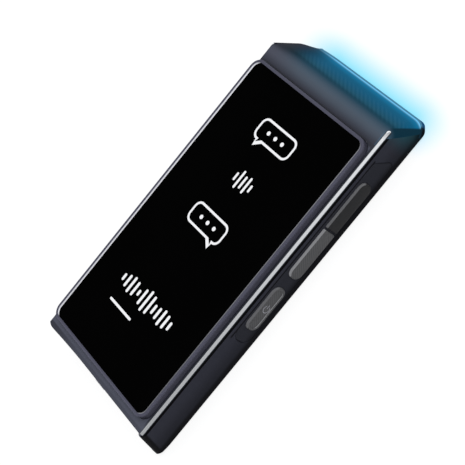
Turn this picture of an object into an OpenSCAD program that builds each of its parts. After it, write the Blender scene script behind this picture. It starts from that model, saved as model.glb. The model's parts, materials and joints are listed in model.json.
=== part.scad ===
// Handheld voice translator: a slim slab with a raised screen, a slanted glowing head
// and talk buttons on its right side. Millimetres. It lies on its back on z = 0, the
// screen faces +Z, the head points to +Y and the talk buttons face +X.

/* [Housing] */
// Width across the two long sides
body_w = 72; // [70:0.5:80]
// Length from the foot to the end of the head
body_l = 151.3; // [147:0.5:165]
// Thickness of the housing without the raised screen
body_t = 16.5; // [16:0.1:18.5]
// Thickness of the rear cover's walls
wall = 1.8; // [1.5:0.1:2.2]
// Thickness of the slate front frame
front_t = 1.1; // [0.9:0.1:1.5]
// Thickness of the middle frame's plate, whose edge shows as a black line
plate_t = 1; // [0.8:0.1:1.4]
// How far the black edge leans in from the side
edge_lean = 0.4; // [0.2:0.1:0.8]
// Radius along the back's long edges
back_edge_r = 1.8; // [1:0.1:3]
// Radius of the two corners at the foot
foot_corner_r = 3; // [2:0.5:6]
// Lean of the foot's end face from upright
foot_angle = 15.3; // [8:0.1:20]
// Height to which the back curves up at the foot
toe_rise = 1.8; // [1:0.1:2.2]
// Length of the back that curves up at the foot
toe_l = 10; // [8:0.5:14]

/* [Head] */
// Slope of the head's front face, from upright
head_angle = 33.2; // [30:0.1:36]
// Radius of the two corners at the head
head_corner_r = 4; // [3:0.5:6]
// Rounding between the slope and the long sides, at the crease
slope_edge_top = 2.6; // [2:0.1:3]
// Rounding between the slope and the long sides, at the end
slope_edge_end = 6.6; // [5:0.1:8]
// Radius of the crease between the flat front and the slope
crease_r = 5; // [3:0.5:8]
// Height of the thin lip below the light line
lip_h = 1.2; // [1:0.1:1.4]
// Height of the light line
light_h = 0.8; // [0.6:0.1:1]
// How deep the light guide reaches in from the end
guide_l = 5.4; // [4.5:0.1:6.5]
// Depth of the smoked lens below the slope
lens_depth = 3; // [2.6:0.1:3.6]
// Wall of the smoked lens
lens_wall = 1.6; // [1.2:0.1:2]
// Pitch of the light ribs behind the lens
rib_pitch = 4; // [3:0.5:6]
// Thickness of each light rib
rib_w = 0.8; // [0.6:0.1:1.2]
// Gap between the raised screen and the flat of the head
head_gap = 0.8; // [0.5:0.1:1.2]

/* [Screen] */
// Width of the black glass
glass_w = 64; // [60:0.5:66]
// Length of the black glass
glass_l = 122.3; // [110:0.5:124]
// Thickness of the cover glass
glass_t = 1.2; // [0.8:0.1:1.6]
// Corner radius of the glass
glass_r = 3; // [2:0.5:5]
// Height of the screen above the front frame
screen_rise = 2.8; // [2.2:0.1:3.4]
// Rim beside the glass
rim_side = 1.85; // [1.5:0.05:2.4]
// Rim above and below the glass
rim_end = 1.3; // [1:0.1:2]
// Radius of the rim's outer edge
rim_edge_r = 0.85; // [0.4:0.05:1]
// Width of the bright bevel beside the glass
bevel_w = 0.95; // [0.5:0.05:1.2]
// Depth of the bright bevel
bevel_d = 0.35; // [0.2:0.05:0.6]
// Distance from the foot's front edge to the glass
chin_l = 6.1; // [5.5:0.1:7]
// Ledge that carries the glass inside the rim
ledge_w = 1.6; // [1.2:0.1:2.2]
// Thickness of the adhesive under the glass
adhesive_t = 0.2; // [0.1:0.05:0.3]

/* [Bright trims] */
// Thickness of the trim strips
trim_t = 0.4; // [0.3:0.05:0.5]
// Distance from the crease to the trims' round tips
trim_back = 0.3; // [0:0.1:3]
// Slate left above the trims on the chamfer
trim_lip = 0.06; // [0.04:0.01:0.1]

/* [Side buttons] */
// Length of the upper talk button
upper_talk_l = 20.3; // [16:0.1:22]
// Length of the lower talk button
lower_talk_l = 20.5; // [16:0.1:22]
// Width of the talk buttons across the side
talk_w = 5.6; // [4.5:0.1:6.2]
// Place of the gap between the two talk buttons
talk_y = 25.9; // [25:0.1:27]
// Height of the talk buttons' middle above the back
talk_z = 7; // [6.6:0.1:7.6]
// Gap between the two talk buttons
talk_gap = 1; // [0.8:0.1:1.6]
// Length of the power button
power_l = 18.4; // [14:0.1:20]
// Width of the power button
power_w = 5.5; // [4.5:0.1:6]
// Place of the power button's middle along the side
power_y = -9.4; // [-11:0.1:-8]
// Distance that a button travels when pressed
press = 0.4; // [0.3:0.05:0.5]
// How far the buttons stand proud of the side
proud = 0.5; // [0.3:0.05:0.7]
// Gap around each button
button_gap = 0.2; // [0.15:0.05:0.3]
// Thickness of the button panel
panel_t = 1.1; // [0.9:0.1:1.2]
// Lower edge of the button panel above the back
panel_z = 3.2; // [3:0.1:3.4]
// Width of the button panel across the side
panel_w = 9.1; // [8.6:0.1:9.4]
// Place of the button panel's lower end
panel_y = -24.2; // [-26:0.1:-23]
// Length of the button panel along its middle
panel_l = 80.5; // [78:0.5:82]
// Lean of the button panel's upper end
panel_slant = 29; // [20:1:34]
// Thickness of the buttons' flanges
flange_t = 0.6; // [0.5:0.1:0.8]
// How far the flanges reach behind the panel
flange_lip = 0.7; // [0.5:0.1:0.8]

/* [Volume rocker] */
// Length of the rocker
rocker_l = 22; // [18:0.5:24]
// Width of the rocker across the side
rocker_w = 3.6; // [3:0.1:4.2]
// Place of the rocker's middle along the side
rocker_y = -6; // [-10:0.5:-2]
// Height of the rocker's middle above the back
rocker_z = 7; // [6.5:0.1:7.5]
// Tilt of the rocker to each side
rocker_tilt = 1.6; // [1:0.1:2]
// Diameter of the rocker's pivot pin
pivot_d = 1.2; // [1:0.1:1.4]

/* [Card tray] */
// Width of the tray's face along the side
tray_w = 15; // [14:0.1:17]
// Thickness of the tray
tray_t = 1; // [0.9:0.1:1.2]
// Length of the tray inside the socket
tray_l = 20; // [19:0.5:22]
// Place of the tray's middle along the side
tray_y = 36; // [34:0.5:38]
// Width of the card
card_w = 8.8; // [8.6:0.1:9]
// Length of the card
card_l = 12.3; // [12:0.1:12.6]
// Thickness of the card
card_t = 0.67; // [0.6:0.01:0.76]

/* [Boards] */
// Height of the boards' underside above the back
board_z = 7.6; // [7.4:0.1:7.8]
// Thickness of the boards
board_t = 0.8; // [0.6:0.1:1]
// Width of the main board
board_w = 56; // [54:0.5:58]
// Length of the main board
board_l = 40; // [38:0.5:42]
// Width of the charging board
usb_board_w = 34; // [32:0.5:38]
// Length of the charging board
usb_board_l = 9; // [8.5:0.1:9.5]
// Height of the shield cans
shield_h = 1.6; // [1.2:0.1:2]
// Thickness of the flat cables
flex_t = 0.2; // [0.15:0.05:0.3]
// Width of the flat cables
flex_w = 6; // [5:0.5:7]

/* [Battery and sound] */
// Width of the battery
battery_w = 52; // [46:0.5:54]
// Length of the battery
battery_l = 62; // [58:0.5:64]
// Thickness of the battery
battery_t = 5.5; // [4:0.1:5.6]
// Thickness of the battery's adhesive pad
pad_t = 0.2; // [0.1:0.05:0.3]
// Gap between the pieces that lie behind one another along the body
row_gap = 1.2; // [1:0.1:1.5]
// Length of the loudspeaker box across the body
speaker_l = 34; // [30:0.5:36]
// Width of the loudspeaker box along the body
speaker_w = 14; // [12:0.5:15]
// Height of the loudspeaker box
speaker_h = 5; // [4:0.1:5.2]
// Slots in the loudspeaker grille
grille_slots = 9; // [5:2:11]
// Length of each grille slot
slot_l = 9; // [7:0.5:10]
// Width of each grille slot
slot_w = 1; // [0.8:0.1:1.2]
// Distance between grille slots
slot_pitch = 2.6; // [2.4:0.1:2.8]
// Thickness of the speaker's mesh
mesh_t = 0.3; // [0.2:0.05:0.4]
// Diameter of the vibration motor
motor_d = 10; // [8:0.5:11]
// Thickness of the vibration motor
motor_t = 2.8; // [2:0.1:3.5]

/* [Camera] */
// Diameter of the camera window
window_d = 10; // [9:0.1:12]
// Diameter of the camera's barrel
barrel_d = 6; // [5:0.1:7]
// Side of the camera's square body
camera_w = 9; // [8:0.1:10]
// Place of the camera across the body
camera_x = -14; // [-16:0.5:-12]
// Distance of the camera from the end of the head
camera_back = 22; // [20:0.5:24]
// Diameter of the flash lens
flash_d = 4; // [3:0.1:5]
// Distance between the camera and the flash
flash_pitch = 11; // [10:0.5:13]

/* [Screws] */
// Diameter of the screws' shanks
screw_d = 1.6; // [1.4:0.1:2]
// Length of the screws' shanks
screw_l = 4; // [3:0.1:5]
// Diameter of the screws' heads
screw_head_d = 3; // [2.6:0.1:3.4]
// Height of the screws' heads
screw_head_t = 0.6; // [0.5:0.05:0.7]
// Diameter of the bosses
boss_d = 4.4; // [4:0.1:5]

/* [Fits] */
// Gap between neighbouring pieces that don't press on each other
fit_gap = 0.15; // [0.1:0.05:0.2]
// Radial clearance of a shaft in its hole
shaft_gap = 0.05; // [0.03:0.01:0.08]

/* [Hidden] */
$fn = 64;
beyond = 20;
half_w = body_w / 2;

// Levels, from the back up
side_t = body_t - front_t - plate_t;
plate_top = side_t + plate_t;
screen_top = body_t + screen_rise;
glass_z = screen_top - glass_t;
ledge_top = glass_z - adhesive_t;
light_top = lip_h + light_h;
board_top = board_z + board_t;
board_mid = board_z + board_t / 2;

// Ends and lines along the body
head_y = body_l / 2;
crease_y = head_y - (body_t - lip_h) * tan(head_angle);
slope_l = (body_t - lip_h) / cos(head_angle);
toe_edge_r = 1;
toe_blend_r = 30;
chin_edge_r = 0.8;
back_end_r = 0.6;
lip_edge_r = 1;
foot_lean = tan(foot_angle);
toe_angle = atan(toe_rise / toe_l);
foot_y = -body_l / 2 + toe_edge_r
    - toe_edge_r * (cos(toe_angle) + sin(foot_angle)) / cos(foot_angle - toe_angle);
foot_front_y = foot_y + foot_lean * (body_t - toe_rise);
glass_y0 = foot_front_y + chin_l;
glass_y1 = glass_y0 + glass_l;
glass_mid_y = glass_y0 + glass_l / 2;
split_y = glass_y1 + rim_end + head_gap;
lens_back_y = crease_y - lens_depth / cos(head_angle);

// Rows of pieces inside, from the foot to the head
usb_y = foot_y + foot_lean * (board_top - toe_rise) + wall / cos(foot_angle) + fit_gap;
speaker_y = usb_y + usb_board_l + row_gap;
battery_y = speaker_y + speaker_w + row_gap;
board_y = battery_y + battery_l + row_gap;

// Outline of the housing and its side profile
PLAN = [[-half_w, foot_y - beyond], [half_w, foot_y - beyond], [half_w, head_y], [-half_w, head_y]];
PLAN_RADII = [0, 0, head_corner_r, head_corner_r];
SIDE = [
    [foot_y + toe_l, 0],
    [head_y, 0],
    [head_y, lip_h],
    [crease_y, body_t],
    [foot_front_y, body_t],
    [foot_y, toe_rise]
];
SIDE_RADII = [toe_blend_r, back_end_r, lip_edge_r, crease_r, chin_edge_r, toe_edge_r];
// The same without the lip at the head's end, for what lies inside
INNER_SIDE = [
    [foot_y + toe_l, 0],
    [head_y + lip_h * tan(head_angle), 0],
    [crease_y, body_t],
    [foot_front_y, body_t],
    [foot_y, toe_rise]
];
INNER_SIDE_RADII = [toe_blend_r, 0, crease_r, chin_edge_r, toe_edge_r];

// Side keys: flanges behind the panel, then switches on a board
flange_z = -panel_t - fit_gap - flange_t;
switch_base = 3.5;
switch_base_t = 0.6;
switch_tip_d = 1.8;
switch_h = 1;
key_face = flange_z - press - fit_gap - switch_h;
key_board_h = 9.5;
key_board_over = 1.5;
key_board_y0 = power_y - power_l / 2 - key_board_over;
key_board_y1 = talk_y + talk_gap / 2 + upper_talk_l + key_board_over;
rib_t = 1;
rib_inset = 1;
rib_spacing = 20;
end_lip = 0.3;
upper_talk_y = talk_y + talk_gap / 2;
lower_talk_y = talk_y - talk_gap / 2 - lower_talk_l;

// Volume rocker: depths are measured from the left side's face
rocker_play = (rocker_l / 2 + flange_lip) * sin(rocker_tilt) + fit_gap;
rocker_flange_z = -wall - rocker_play - flange_t;
pivot_drop = 0.4;
pivot_z = rocker_flange_z - pivot_drop - pivot_d / 2;
lug_wall = 0.6;
lug_r = pivot_d / 2 + lug_wall;
lug_gap = 0.5;
lug_w = rocker_w + 2 * flange_lip;
bracket_t = 1.2;
bracket_low = rocker_z - lug_w / 2 - fit_gap - bracket_t;
bracket_high = rocker_z + lug_w / 2 + fit_gap;
volume_inset = 3;
volume_reach = rocker_l / 2 - volume_inset;
volume_face = rocker_flange_z - volume_reach * sin(rocker_tilt) - fit_gap - switch_h;

// Card tray and its socket
cage_t = 0.3;
tray_z = board_top + cage_t + fit_gap + tray_t / 2;
tray_face_h = 2.6;
card_rim = 1.2;
card_back = 1;
card_r = 0.8;
tray_body_w = card_w + 2 * card_rim;
tray_floor_t = 0.3;
eject_d = 0.9;
eject_inset = 2;
socket_inset = 0.5;
socket_x = -board_w / 2 + socket_inset;
tray_end_x = -half_w + wall + tray_l;

// Main board's fittings
screw_inset = 2.6;
boss_side_gap = 1.4;
boss_foot_gap = 4;
boss_head_gap = 1;
boss_ys = [
    glass_y0 + boss_foot_gap,
    battery_y + battery_l / 4,
    lens_back_y - boss_d / 2 - boss_head_gap
];
frame_screws = [
    for (side = [-1, 1])
        for (y = boss_ys)
            [side * (half_w - wall - boss_d / 2 - boss_side_gap), y]
];
board_screws = [
    for (side = [-1, 1])
        for (y = [board_y + screw_inset, board_y + board_l - screw_inset])
            [side * (board_w / 2 - screw_inset), y]
];
usb_screws = [
    for (side = [-1, 1])
        [side * (usb_board_w / 2 - screw_inset), usb_y + usb_board_l - screw_inset]
];
board_r = 1.5;
can_skin = 0.25;
can_inset = 6;
can_gap = 3;

// Camera: its window is flush with the back
camera_y = head_y - camera_back;
camera_h = 5;
camera_r = 0.5;
notch_gap = 0.5;
window_t = 0.9;

// Screen
glass_gap = 0.1;
bezel_w = glass_w + 2 * rim_side;
bezel_l = glass_l + 2 * rim_end;
bezel_r = glass_r + rim_end;
display_w = glass_w - 2 * ledge_w;
display_l = glass_l - 2 * ledge_w;
display_r = 1;

// Button panel and buttons
panel_r = 4;
panel_end_r = 2;
power_z = talk_z + 0.4;
button_corner_r = 0.6;
card_gap = 0.1;

// Skirts of the middle frame, which run down inside the cover's walls
skirt_h = 1.6;
skirt_inset = 6;
skirt_l = glass_l - 2 * skirt_inset;

// Flat cables and their plugs
flex_x = 7;
flex_slot = 3;
flex_side_gap = 1;
flex_overlap = 3;
flex_plug_l = 2.4;
flex_plug_lip = 0.5;
flex_plug_h = 1;
flex_bend = 1.5;
display_flex_y = board_y + 14;
display_plug_h = 0.9;
display_tail_l = 3;

// Light board in the head
rib_back = 2;
light_board_w = 5;
light_overlap = 1.2;
chip_count = 7;
chip_pitch = 7.8;
chip_size = [3, 1, 0.7];
light_board_l = chip_count * chip_pitch;

// Charging socket and microphones
usb_w = 9;
usb_h = 3.3;
usb_l = 7.3;
usb_skin = 0.3;
usb_base_t = 1;
usb_tongue = [6.6, 0.7];
tongue_start = 0.5;
tongue_back = 0.8;
usb_foot = [1.6, 1.6, 0.5];
usb_foot_out = 0.6;
usb_setback = 0.2;
usb_front_y = foot_y + foot_lean * (board_mid + usb_h / 2 - toe_rise) + usb_setback;
mic_size = [3.5, 2.6, 1];
mic_inset = 1.5;
mic_x = -9;
head_mic_x = 12;
mic_hole_d = 1;

// Battery, loudspeaker and vibration motor
battery_r = 2;
pad_inset = 3;
pad_r = 1;
speaker_r = 2;
cone_inset = [8, 4];
cone_depth = 0.8;
mesh_lap = 1.5;
motor_gap = 1;
motor_rise = 2.5;

function unit(v) = v / norm(v);

// Each corner of a convex outline, moved in from both of its edges
function inset_points(points, inset) = [
    for (i = [0:len(points) - 1])
        let (
            count = len(points),
            to_last = unit(points[(i + count - 1) % count] - points[i]),
            to_next = unit(points[(i + 1) % count] - points[i]),
            half = acos(to_last * to_next) / 2
        )
        points[i] + unit(to_last + to_next) * inset / sin(half)
];

// A convex outline with a true arc of its own radius at each corner
module rounded_outline(points, radii) {
    count = len(points);
    difference() {
        polygon(points);
        for (i = [0:count - 1])
            if (radii[i] > 0) {
                to_last = unit(points[(i + count - 1) % count] - points[i]);
                to_next = unit(points[(i + 1) % count] - points[i]);
                middle = unit(to_last + to_next);
                half = acos(to_last * to_next) / 2;
                centre = points[i] + middle * radii[i] / sin(half);
                reach = radii[i] / tan(half);
                difference() {
                    polygon([
                        points[i] + to_last * reach,
                        centre,
                        points[i] + to_next * reach,
                        points[i] - middle
                    ]);
                    translate(centre) rotate(atan2(middle.y, middle.x)) circle(radii[i]);
                }
            }
    }
}

module rounded_box(size, radius) {
    translate([-size.x / 2, -size.y / 2, 0])
        linear_extrude(size.z)
            rounded_outline(
                [[0, 0], [size.x, 0], [size.x, size.y], [0, size.y]],
                [radius, radius, radius, radius]
            );
}

// The housing's outer form: plan, side profile, cross-section and slope, cut into one another
module envelope(inset = 0) {
    difference() {
        intersection() {
            plan_block(inset);
            side_block(inset);
            section_block(inset);
        }
        if (inset == 0) foot_corner_waste();
        slope_edge_waste(inset);
        mirror([1, 0, 0]) slope_edge_waste(inset);
    }
}

module plan_block(inset) {
    translate([0, 0, -1])
        linear_extrude(screen_top)
            rounded_outline(inset_points(PLAN, inset), [for (r = PLAN_RADII) max(r - inset, 0)]);
}

module side_block(inset) {
    points = inset > 0 ? INNER_SIDE : SIDE;
    radii = inset > 0 ? INNER_SIDE_RADII : SIDE_RADII;
    rotate([90, 0, 90])
        linear_extrude(body_w + beyond, center = true)
            rounded_outline(inset_points(points, inset), [for (r = radii) max(r - inset, 0)]);
}

// What the rounding of the foot's two upright edges takes off, in line with its leaning face
module foot_corner_waste() {
    inner = half_w - foot_corner_r;
    translate([0, foot_y, toe_rise])
        rotate([-foot_angle, 0, 0])
            linear_extrude(4 * body_t, center = true)
                for (side = [-1, 1])
                    difference() {
                        translate([side * (inner + beyond / 2), (foot_corner_r - beyond) / 2])
                            square([beyond, foot_corner_r + beyond], center = true);
                        translate([side * inner, foot_corner_r])
                            rotate(45)
                                circle(foot_corner_r);
                    }
}

module section_block(inset) {
    half = half_w;
    lean = half - edge_lean;
    points = [
        [-half, 0], [half, 0], [half, side_t], [lean, plate_top],
        [lean - front_t, body_t], [front_t - lean, body_t], [-lean, plate_top], [-half, side_t]
    ];
    radius = max(back_edge_r - inset, 0);
    rotate([90, 0, 0])
        linear_extrude(body_l + 2 * beyond, center = true)
            rounded_outline(inset_points(points, inset), [radius, radius, 0, 0, 0, 0, 0, 0]);
}

// Stands its children on the slope: local z is the slope's outward normal
module on_slope() {
    translate([0, head_y, lip_h])
        rotate([head_angle - 90, 0, 0])
            children();
}

// Turns local z to the given direction
module along(direction) {
    v = unit(direction);
    rotate([0, acos(v.z), atan2(v.y, v.x)])
        children();
}

// What a growing round takes off the edge between the slope and the right side: all that
// lies outside a cone which touches both faces, and whose tip is on the edge line
module slope_edge_waste(inset) {
    growth = (slope_edge_end - slope_edge_top) / slope_l;
    tip = [half_w - inset, -slope_l - (slope_edge_top - inset) / growth, -inset];
    reach = body_l;
    on_slope()
        translate(tip)
            difference() {
                along([1, growth, 1])
                    translate([-reach, -reach, 0])
                        cube([2 * reach, 2 * reach, beyond]);
                along([-growth, 1, -growth])
                    cylinder(h = reach, r1 = 0, r2 = reach * growth / sqrt(1 + growth * growth));
            }
}

// All that lies less than the given depth below the slope
module slope_layer(depth) {
    on_slope()
        translate([-body_w, -body_l, -depth])
            cube([2 * body_w, 2 * body_l, depth + beyond]);
}

// Everything between two heights
module level(low, high) {
    translate([-body_w, -body_l, low])
        cube([2 * body_w, 2 * body_l, high - low]);
}

// Everything between two places along the body
module stretch(low, high) {
    translate([-body_w, low, -beyond])
        cube([2 * body_w, high - low, body_t + 2 * beyond]);
}

// Stands its children on the right side: local x runs along the body, y up and z outward
module on_right_side(y, z) {
    translate([half_w, y, z])
        rotate([90, 0, 90])
            children();
}

// Stands its children on the left side: local x runs towards the foot, y up and z outward
module on_left_side(y, z) {
    translate([-half_w, y, z])
        rotate([90, 0, -90])
            children();
}

// The room inside the rear cover, open to the front and to the slope
module cavity() {
    points = [
        [foot_y + toe_l, 0],
        [head_y + beyond, 0],
        [head_y + beyond, body_t + beyond],
        [foot_y + foot_lean * (body_t + beyond - toe_rise), body_t + beyond],
        [foot_y, toe_rise]
    ];
    intersection() {
        plan_block(wall);
        rotate([90, 0, 90])
            linear_extrude(body_w + beyond, center = true)
                polygon(inset_points(points, wall));
    }
}

// The space of the smoked lens: the flat of the head, and a layer below the slope
module lens_space() {
    difference() {
        union() {
            slope_layer(lens_depth);
            intersection() {
                stretch(split_y, head_y + beyond);
                level(plate_top, body_t + beyond);
            }
        }
        level(-beyond, light_top);
    }
}

// The space of the light guide: a bar along the end, between the lip and the lens
module guide_space() {
    intersection() {
        level(lip_h, light_top);
        stretch(head_y - guide_l, head_y + beyond);
    }
}

// A block between two corners
module block(low, high) {
    translate(low)
        cube(high - low);
}

// A slot with round ends, lengthwise along x
module round_slot(length, width, height) {
    linear_extrude(height)
        union() {
            square([length - width, width], center = true);
            for (end = [-1, 1])
                translate([end * (length - width) / 2, 0])
                    circle(d = width);
        }
}

// A flat slab whose upper edges are rounded
module soft_slab(size, corner_r, edge_r) {
    intersection() {
        rounded_box(size, corner_r);
        rotate([90, 0, 0])
            linear_extrude(2 * size.y, center = true)
                arched(size.x, size.z, edge_r);
        rotate([90, 0, 90])
            linear_extrude(2 * size.x, center = true)
                arched(size.y, size.z, edge_r);
    }
}

module arched(width, height, radius) {
    rounded_outline(
        [[-width / 2, 0], [width / 2, 0], [width / 2, height], [-width / 2, height]],
        [0, 0, radius, radius]
    );
}

// ---- Housing ----

module rear_cover() {
    color("#2b2b31")
        difference() {
            union() {
                difference() {
                    envelope();
                    lens_space();
                    guide_space();
                    level(side_t, body_t + beyond);
                    cavity();
                }
                for (place = frame_screws)
                    translate([place.x, place.y, wall / 2])
                        cylinder(h = side_t - wall / 2, d = boss_d);
                for (place = concat(board_screws, usb_screws))
                    translate([place.x, place.y, wall / 2])
                        cylinder(h = board_z - wall / 2, d = boss_d);
                key_ribs();
                rocker_brackets();
                light_rest();
            }
            for (place = frame_screws)
                translate([place.x, place.y, plate_top - screw_head_t])
                    screw_hole();
            for (place = concat(board_screws, usb_screws))
                translate([place.x, place.y, board_top])
                    screw_hole();
            button_recess();
            rocker_opening();
            tray_opening();
            chip_pocket();
            back_openings();
            usb_opening();
        }
}

// Ribs that stand behind the two key boards
module key_ribs() {
    low = key_board_y0 + rib_inset;
    high = key_board_y1 - rib_inset;
    for (y = [low, low + rib_spacing, high - rib_spacing, high])
        translate([half_w + key_face - board_t - rib_t, y - rib_t / 2, wall / 2])
            cube([rib_t, rib_t, key_board_h]);
    for (end = [-1, 1]) {
        y = rocker_y + end * (volume_reach + rib_inset);
        translate([-half_w - volume_face + board_t, y - rib_t / 2, wall / 2])
            cube([rib_t, rib_t, key_board_h]);
    }
}

// Two knuckles that hold the rocker's pin
module rocker_brackets() {
    reach = -pivot_z + lug_r;
    for (low = [bracket_low, bracket_high])
        difference() {
            block(
                [-half_w + wall / 2, rocker_y - lug_r, low],
                [-half_w + reach, rocker_y + lug_r, low + bracket_t]
            );
            translate([-half_w - pivot_z, rocker_y, low - 1])
                cylinder(h = bracket_t + 2, d = pivot_d + 2 * shaft_gap);
        }
}

// A low step under the light board's inner edge
module light_rest() {
    low = head_y - guide_l + light_overlap - light_board_w;
    block([-light_board_l / 2, low, wall / 2], [light_board_l / 2, low + 2 * rib_t, light_top]);
}

module button_recess() {
    on_right_side(0, 0) {
        translate([0, 0, -panel_t])
            linear_extrude(beyond)
                panel_outline(-fit_gap);
        translate([0, 0, -wall - 1])
            linear_extrude(wall + 2)
                flange_windows();
    }
}

module rocker_opening() {
    on_left_side(rocker_y, rocker_z)
        translate([0, 0, -wall - 1])
            round_slot(rocker_l + 2 * button_gap, rocker_w + 2 * button_gap, wall + 2);
}

module tray_opening() {
    on_left_side(tray_y, tray_z)
        translate([0, 0, -wall - 1])
            round_slot(tray_w + 2 * fit_gap, tray_face_h + 2 * fit_gap, wall + 2);
}

module chip_pocket() {
    translate([-light_board_l / 2, head_y - guide_l - chip_size.y - fit_gap, lip_h])
        cube([light_board_l, chip_size.y + fit_gap + 1, beyond]);
}

// Grille, camera and flash holes through the back wall
module back_openings() {
    for (i = [0:grille_slots - 1])
        translate([(i - (grille_slots - 1) / 2) * slot_pitch, speaker_y + speaker_w / 2, -1])
            rotate([0, 0, 90])
                round_slot(slot_l, slot_w, wall + 2);
    translate([camera_x, camera_y, -1]) {
        cylinder(h = window_t + 1, d = window_d + 2 * fit_gap);
        cylinder(h = wall + 2, d = barrel_d + 2 * fit_gap);
    }
    translate([camera_x + flash_pitch, camera_y, -1])
        cylinder(h = wall + 2, d = flash_d + 2 * shaft_gap);
}

module usb_opening() {
    translate([0, foot_y + beyond / 2, board_mid])
        rotate([90, 0, 0])
            round_slot(usb_w + 2 * fit_gap, usb_h + 2 * fit_gap, beyond);
    translate([mic_x, foot_y + beyond / 2, board_mid])
        rotate([90, 0, 0])
            cylinder(h = beyond, d = mic_hole_d);
}

module middle_frame() {
    color("#08080a")
        difference() {
            union() {
                difference() {
                    intersection() {
                        envelope();
                        level(side_t, plate_top);
                    }
                    lens_space();
                }
                for (side = [-1, 1])
                    translate([side * (half_w - wall - fit_gap - rib_t / 2), glass_mid_y, side_t - skirt_h])
                        translate([-rib_t / 2, -skirt_l / 2, 0])
                            cube([rib_t, skirt_l, skirt_h + plate_t / 2]);
            }
            both_trims();
            for (place = frame_screws)
                translate([place.x, place.y, 0]) {
                    cylinder(h = plate_top, d = screw_d + 2 * shaft_gap);
                    translate([0, 0, plate_top - screw_head_t])
                        cylinder(h = plate_top, d = screw_head_d + 2 * shaft_gap);
                }
            translate([flex_x, display_flex_y, side_t - 1])
                rounded_box([flex_w + 2 * flex_side_gap, flex_slot, plate_t + 2], flex_plug_lip);
        }
}

module front_frame() {
    color("#4b5058")
        difference() {
            intersection() {
                envelope();
                level(plate_top, body_t + beyond);
                stretch(foot_y - beyond, split_y);
            }
            translate([0, glass_mid_y, plate_top - 1])
                rounded_box([bezel_w + 2 * fit_gap, bezel_l + 2 * fit_gap, beyond], bezel_r + fit_gap);
            both_trims();
        }
}

// A shell below the slope that runs on into the flat of the head, with light ribs inside
module head_lens() {
    color("#2a5a70")
        difference() {
            union() {
                difference() {
                    intersection() {
                        envelope();
                        lens_space();
                    }
                    envelope(lens_wall);
                }
                light_ribs();
            }
            both_trims();
        }
}

module light_ribs() {
    count = floor((half_w - wall - slope_edge_end) / rib_pitch);
    intersection() {
        envelope(lens_wall / 2);
        slope_layer(lens_depth);
        level(light_top + rib_back, side_t - rib_back);
        for (i = [-count:count])
            block([i * rib_pitch - rib_w / 2, 0, 0], [i * rib_pitch + rib_w / 2, body_l, body_t]);
    }
}

module light_guide() {
    color("#63bded")
        intersection() {
            envelope();
            guide_space();
        }
}

// Stands its children on the right chamfer: local y runs along the body and z outward
module on_chamfer() {
    translate([half_w - edge_lean - front_t / 2, 0, plate_top + front_t / 2])
        rotate([0, 45, 0])
            children();
}

// The strip of a bright trim, as deep as it is set into the chamfer
module trim_strip() {
    high = -front_t * sqrt(2) / 2 + trim_lip;
    low = front_t * sqrt(2) / 2 + 2 * trim_lip;
    tip_y = crease_y - trim_back;
    tip_r = (low - high) * 0.45;
    on_chamfer()
        translate([0, 0, -trim_t])
            linear_extrude(trim_t + 1)
                rounded_outline(
                    [[high, -body_l], [low, -body_l], [low, tip_y], [high, tip_y]],
                    [0, 0, tip_r, tip_r]
                );
}

module both_trims() {
    trim_strip();
    mirror([1, 0, 0]) trim_strip();
}

module trim_right() {
    color("#d9d9dc")
        intersection() {
            envelope();
            trim_strip();
        }
}

module trim_left() {
    color("#d9d9dc")
        intersection() {
            envelope();
            mirror([1, 0, 0]) trim_strip();
        }
}

// ---- Screen ----

module screen_bezel() {
    color("#55565f")
        translate([0, glass_mid_y, 0])
            difference() {
                translate([0, 0, plate_top])
                    soft_slab([bezel_w, bezel_l, screen_top - plate_top], bezel_r, rim_edge_r);
                translate([0, 0, ledge_top])
                    rounded_box(
                        [glass_w + 2 * glass_gap, glass_l + 2 * glass_gap, beyond],
                        glass_r + glass_gap
                    );
                translate([0, 0, plate_top - 1])
                    rounded_box([display_w + 2 * fit_gap, display_l + 2 * fit_gap, beyond], display_r);
                for (side = [-1, 1])
                    rotate([90, 0, 0])
                        linear_extrude(glass_l - 2 * glass_r, center = true)
                            polygon([
                                [side * glass_w / 2, screen_top + 1],
                                [side * glass_w / 2, screen_top - bevel_d],
                                [side * (glass_w / 2 + bevel_w), screen_top],
                                [side * (glass_w / 2 + bevel_w), screen_top + 1]
                            ]);
            }
}

module cover_glass() {
    color("#040404")
        translate([0, glass_mid_y, glass_z])
            rounded_box([glass_w, glass_l, glass_t], glass_r);
}

module glass_adhesive() {
    color("#1c1c1c")
        translate([0, glass_mid_y, ledge_top])
            rounded_box([glass_w - 2 * glass_gap, glass_l - 2 * glass_gap, adhesive_t], glass_r);
}

module display_panel() {
    color("#101318")
        translate([0, glass_mid_y, plate_top])
            rounded_box([display_w, display_l, ledge_top - plate_top], display_r);
}

// ---- Side buttons ----

// Side outline of the button panel: round below, slanted like the head above
module panel_outline(inset) {
    slant = panel_w / 2 * tan(panel_slant);
    high = panel_z + panel_w;
    top_y = panel_y + panel_l;
    rounded_outline(
        inset_points(
            [[panel_y, panel_z], [top_y + slant, panel_z], [top_y - slant, high], [panel_y, high]],
            inset
        ),
        [panel_r - inset, panel_end_r - inset, panel_end_r - inset, panel_r - inset]
    );
}

// A button's face outline along x, grown all round: each end is round or flat with small corners
module button_outline(length, width, round_ends, grow = 0) {
    side = width / 2 + grow;
    ends = [
        round_ends[0] ? width / 2 : -grow,
        round_ends[1] ? length - width / 2 : length + grow
    ];
    corners = [for (is_round = round_ends) is_round ? 0 : button_corner_r + grow];
    rounded_outline(
        [[ends[0], -side], [ends[1], -side], [ends[1], side], [ends[0], side]],
        [corners[0], corners[1], corners[1], corners[0]]
    );
    for (i = [0, 1])
        if (round_ends[i])
            translate([ends[i], 0])
                circle(side);
}

UPPER_ENDS = [false, true];
LOWER_ENDS = [true, false];
POWER_ENDS = [true, true];

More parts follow.
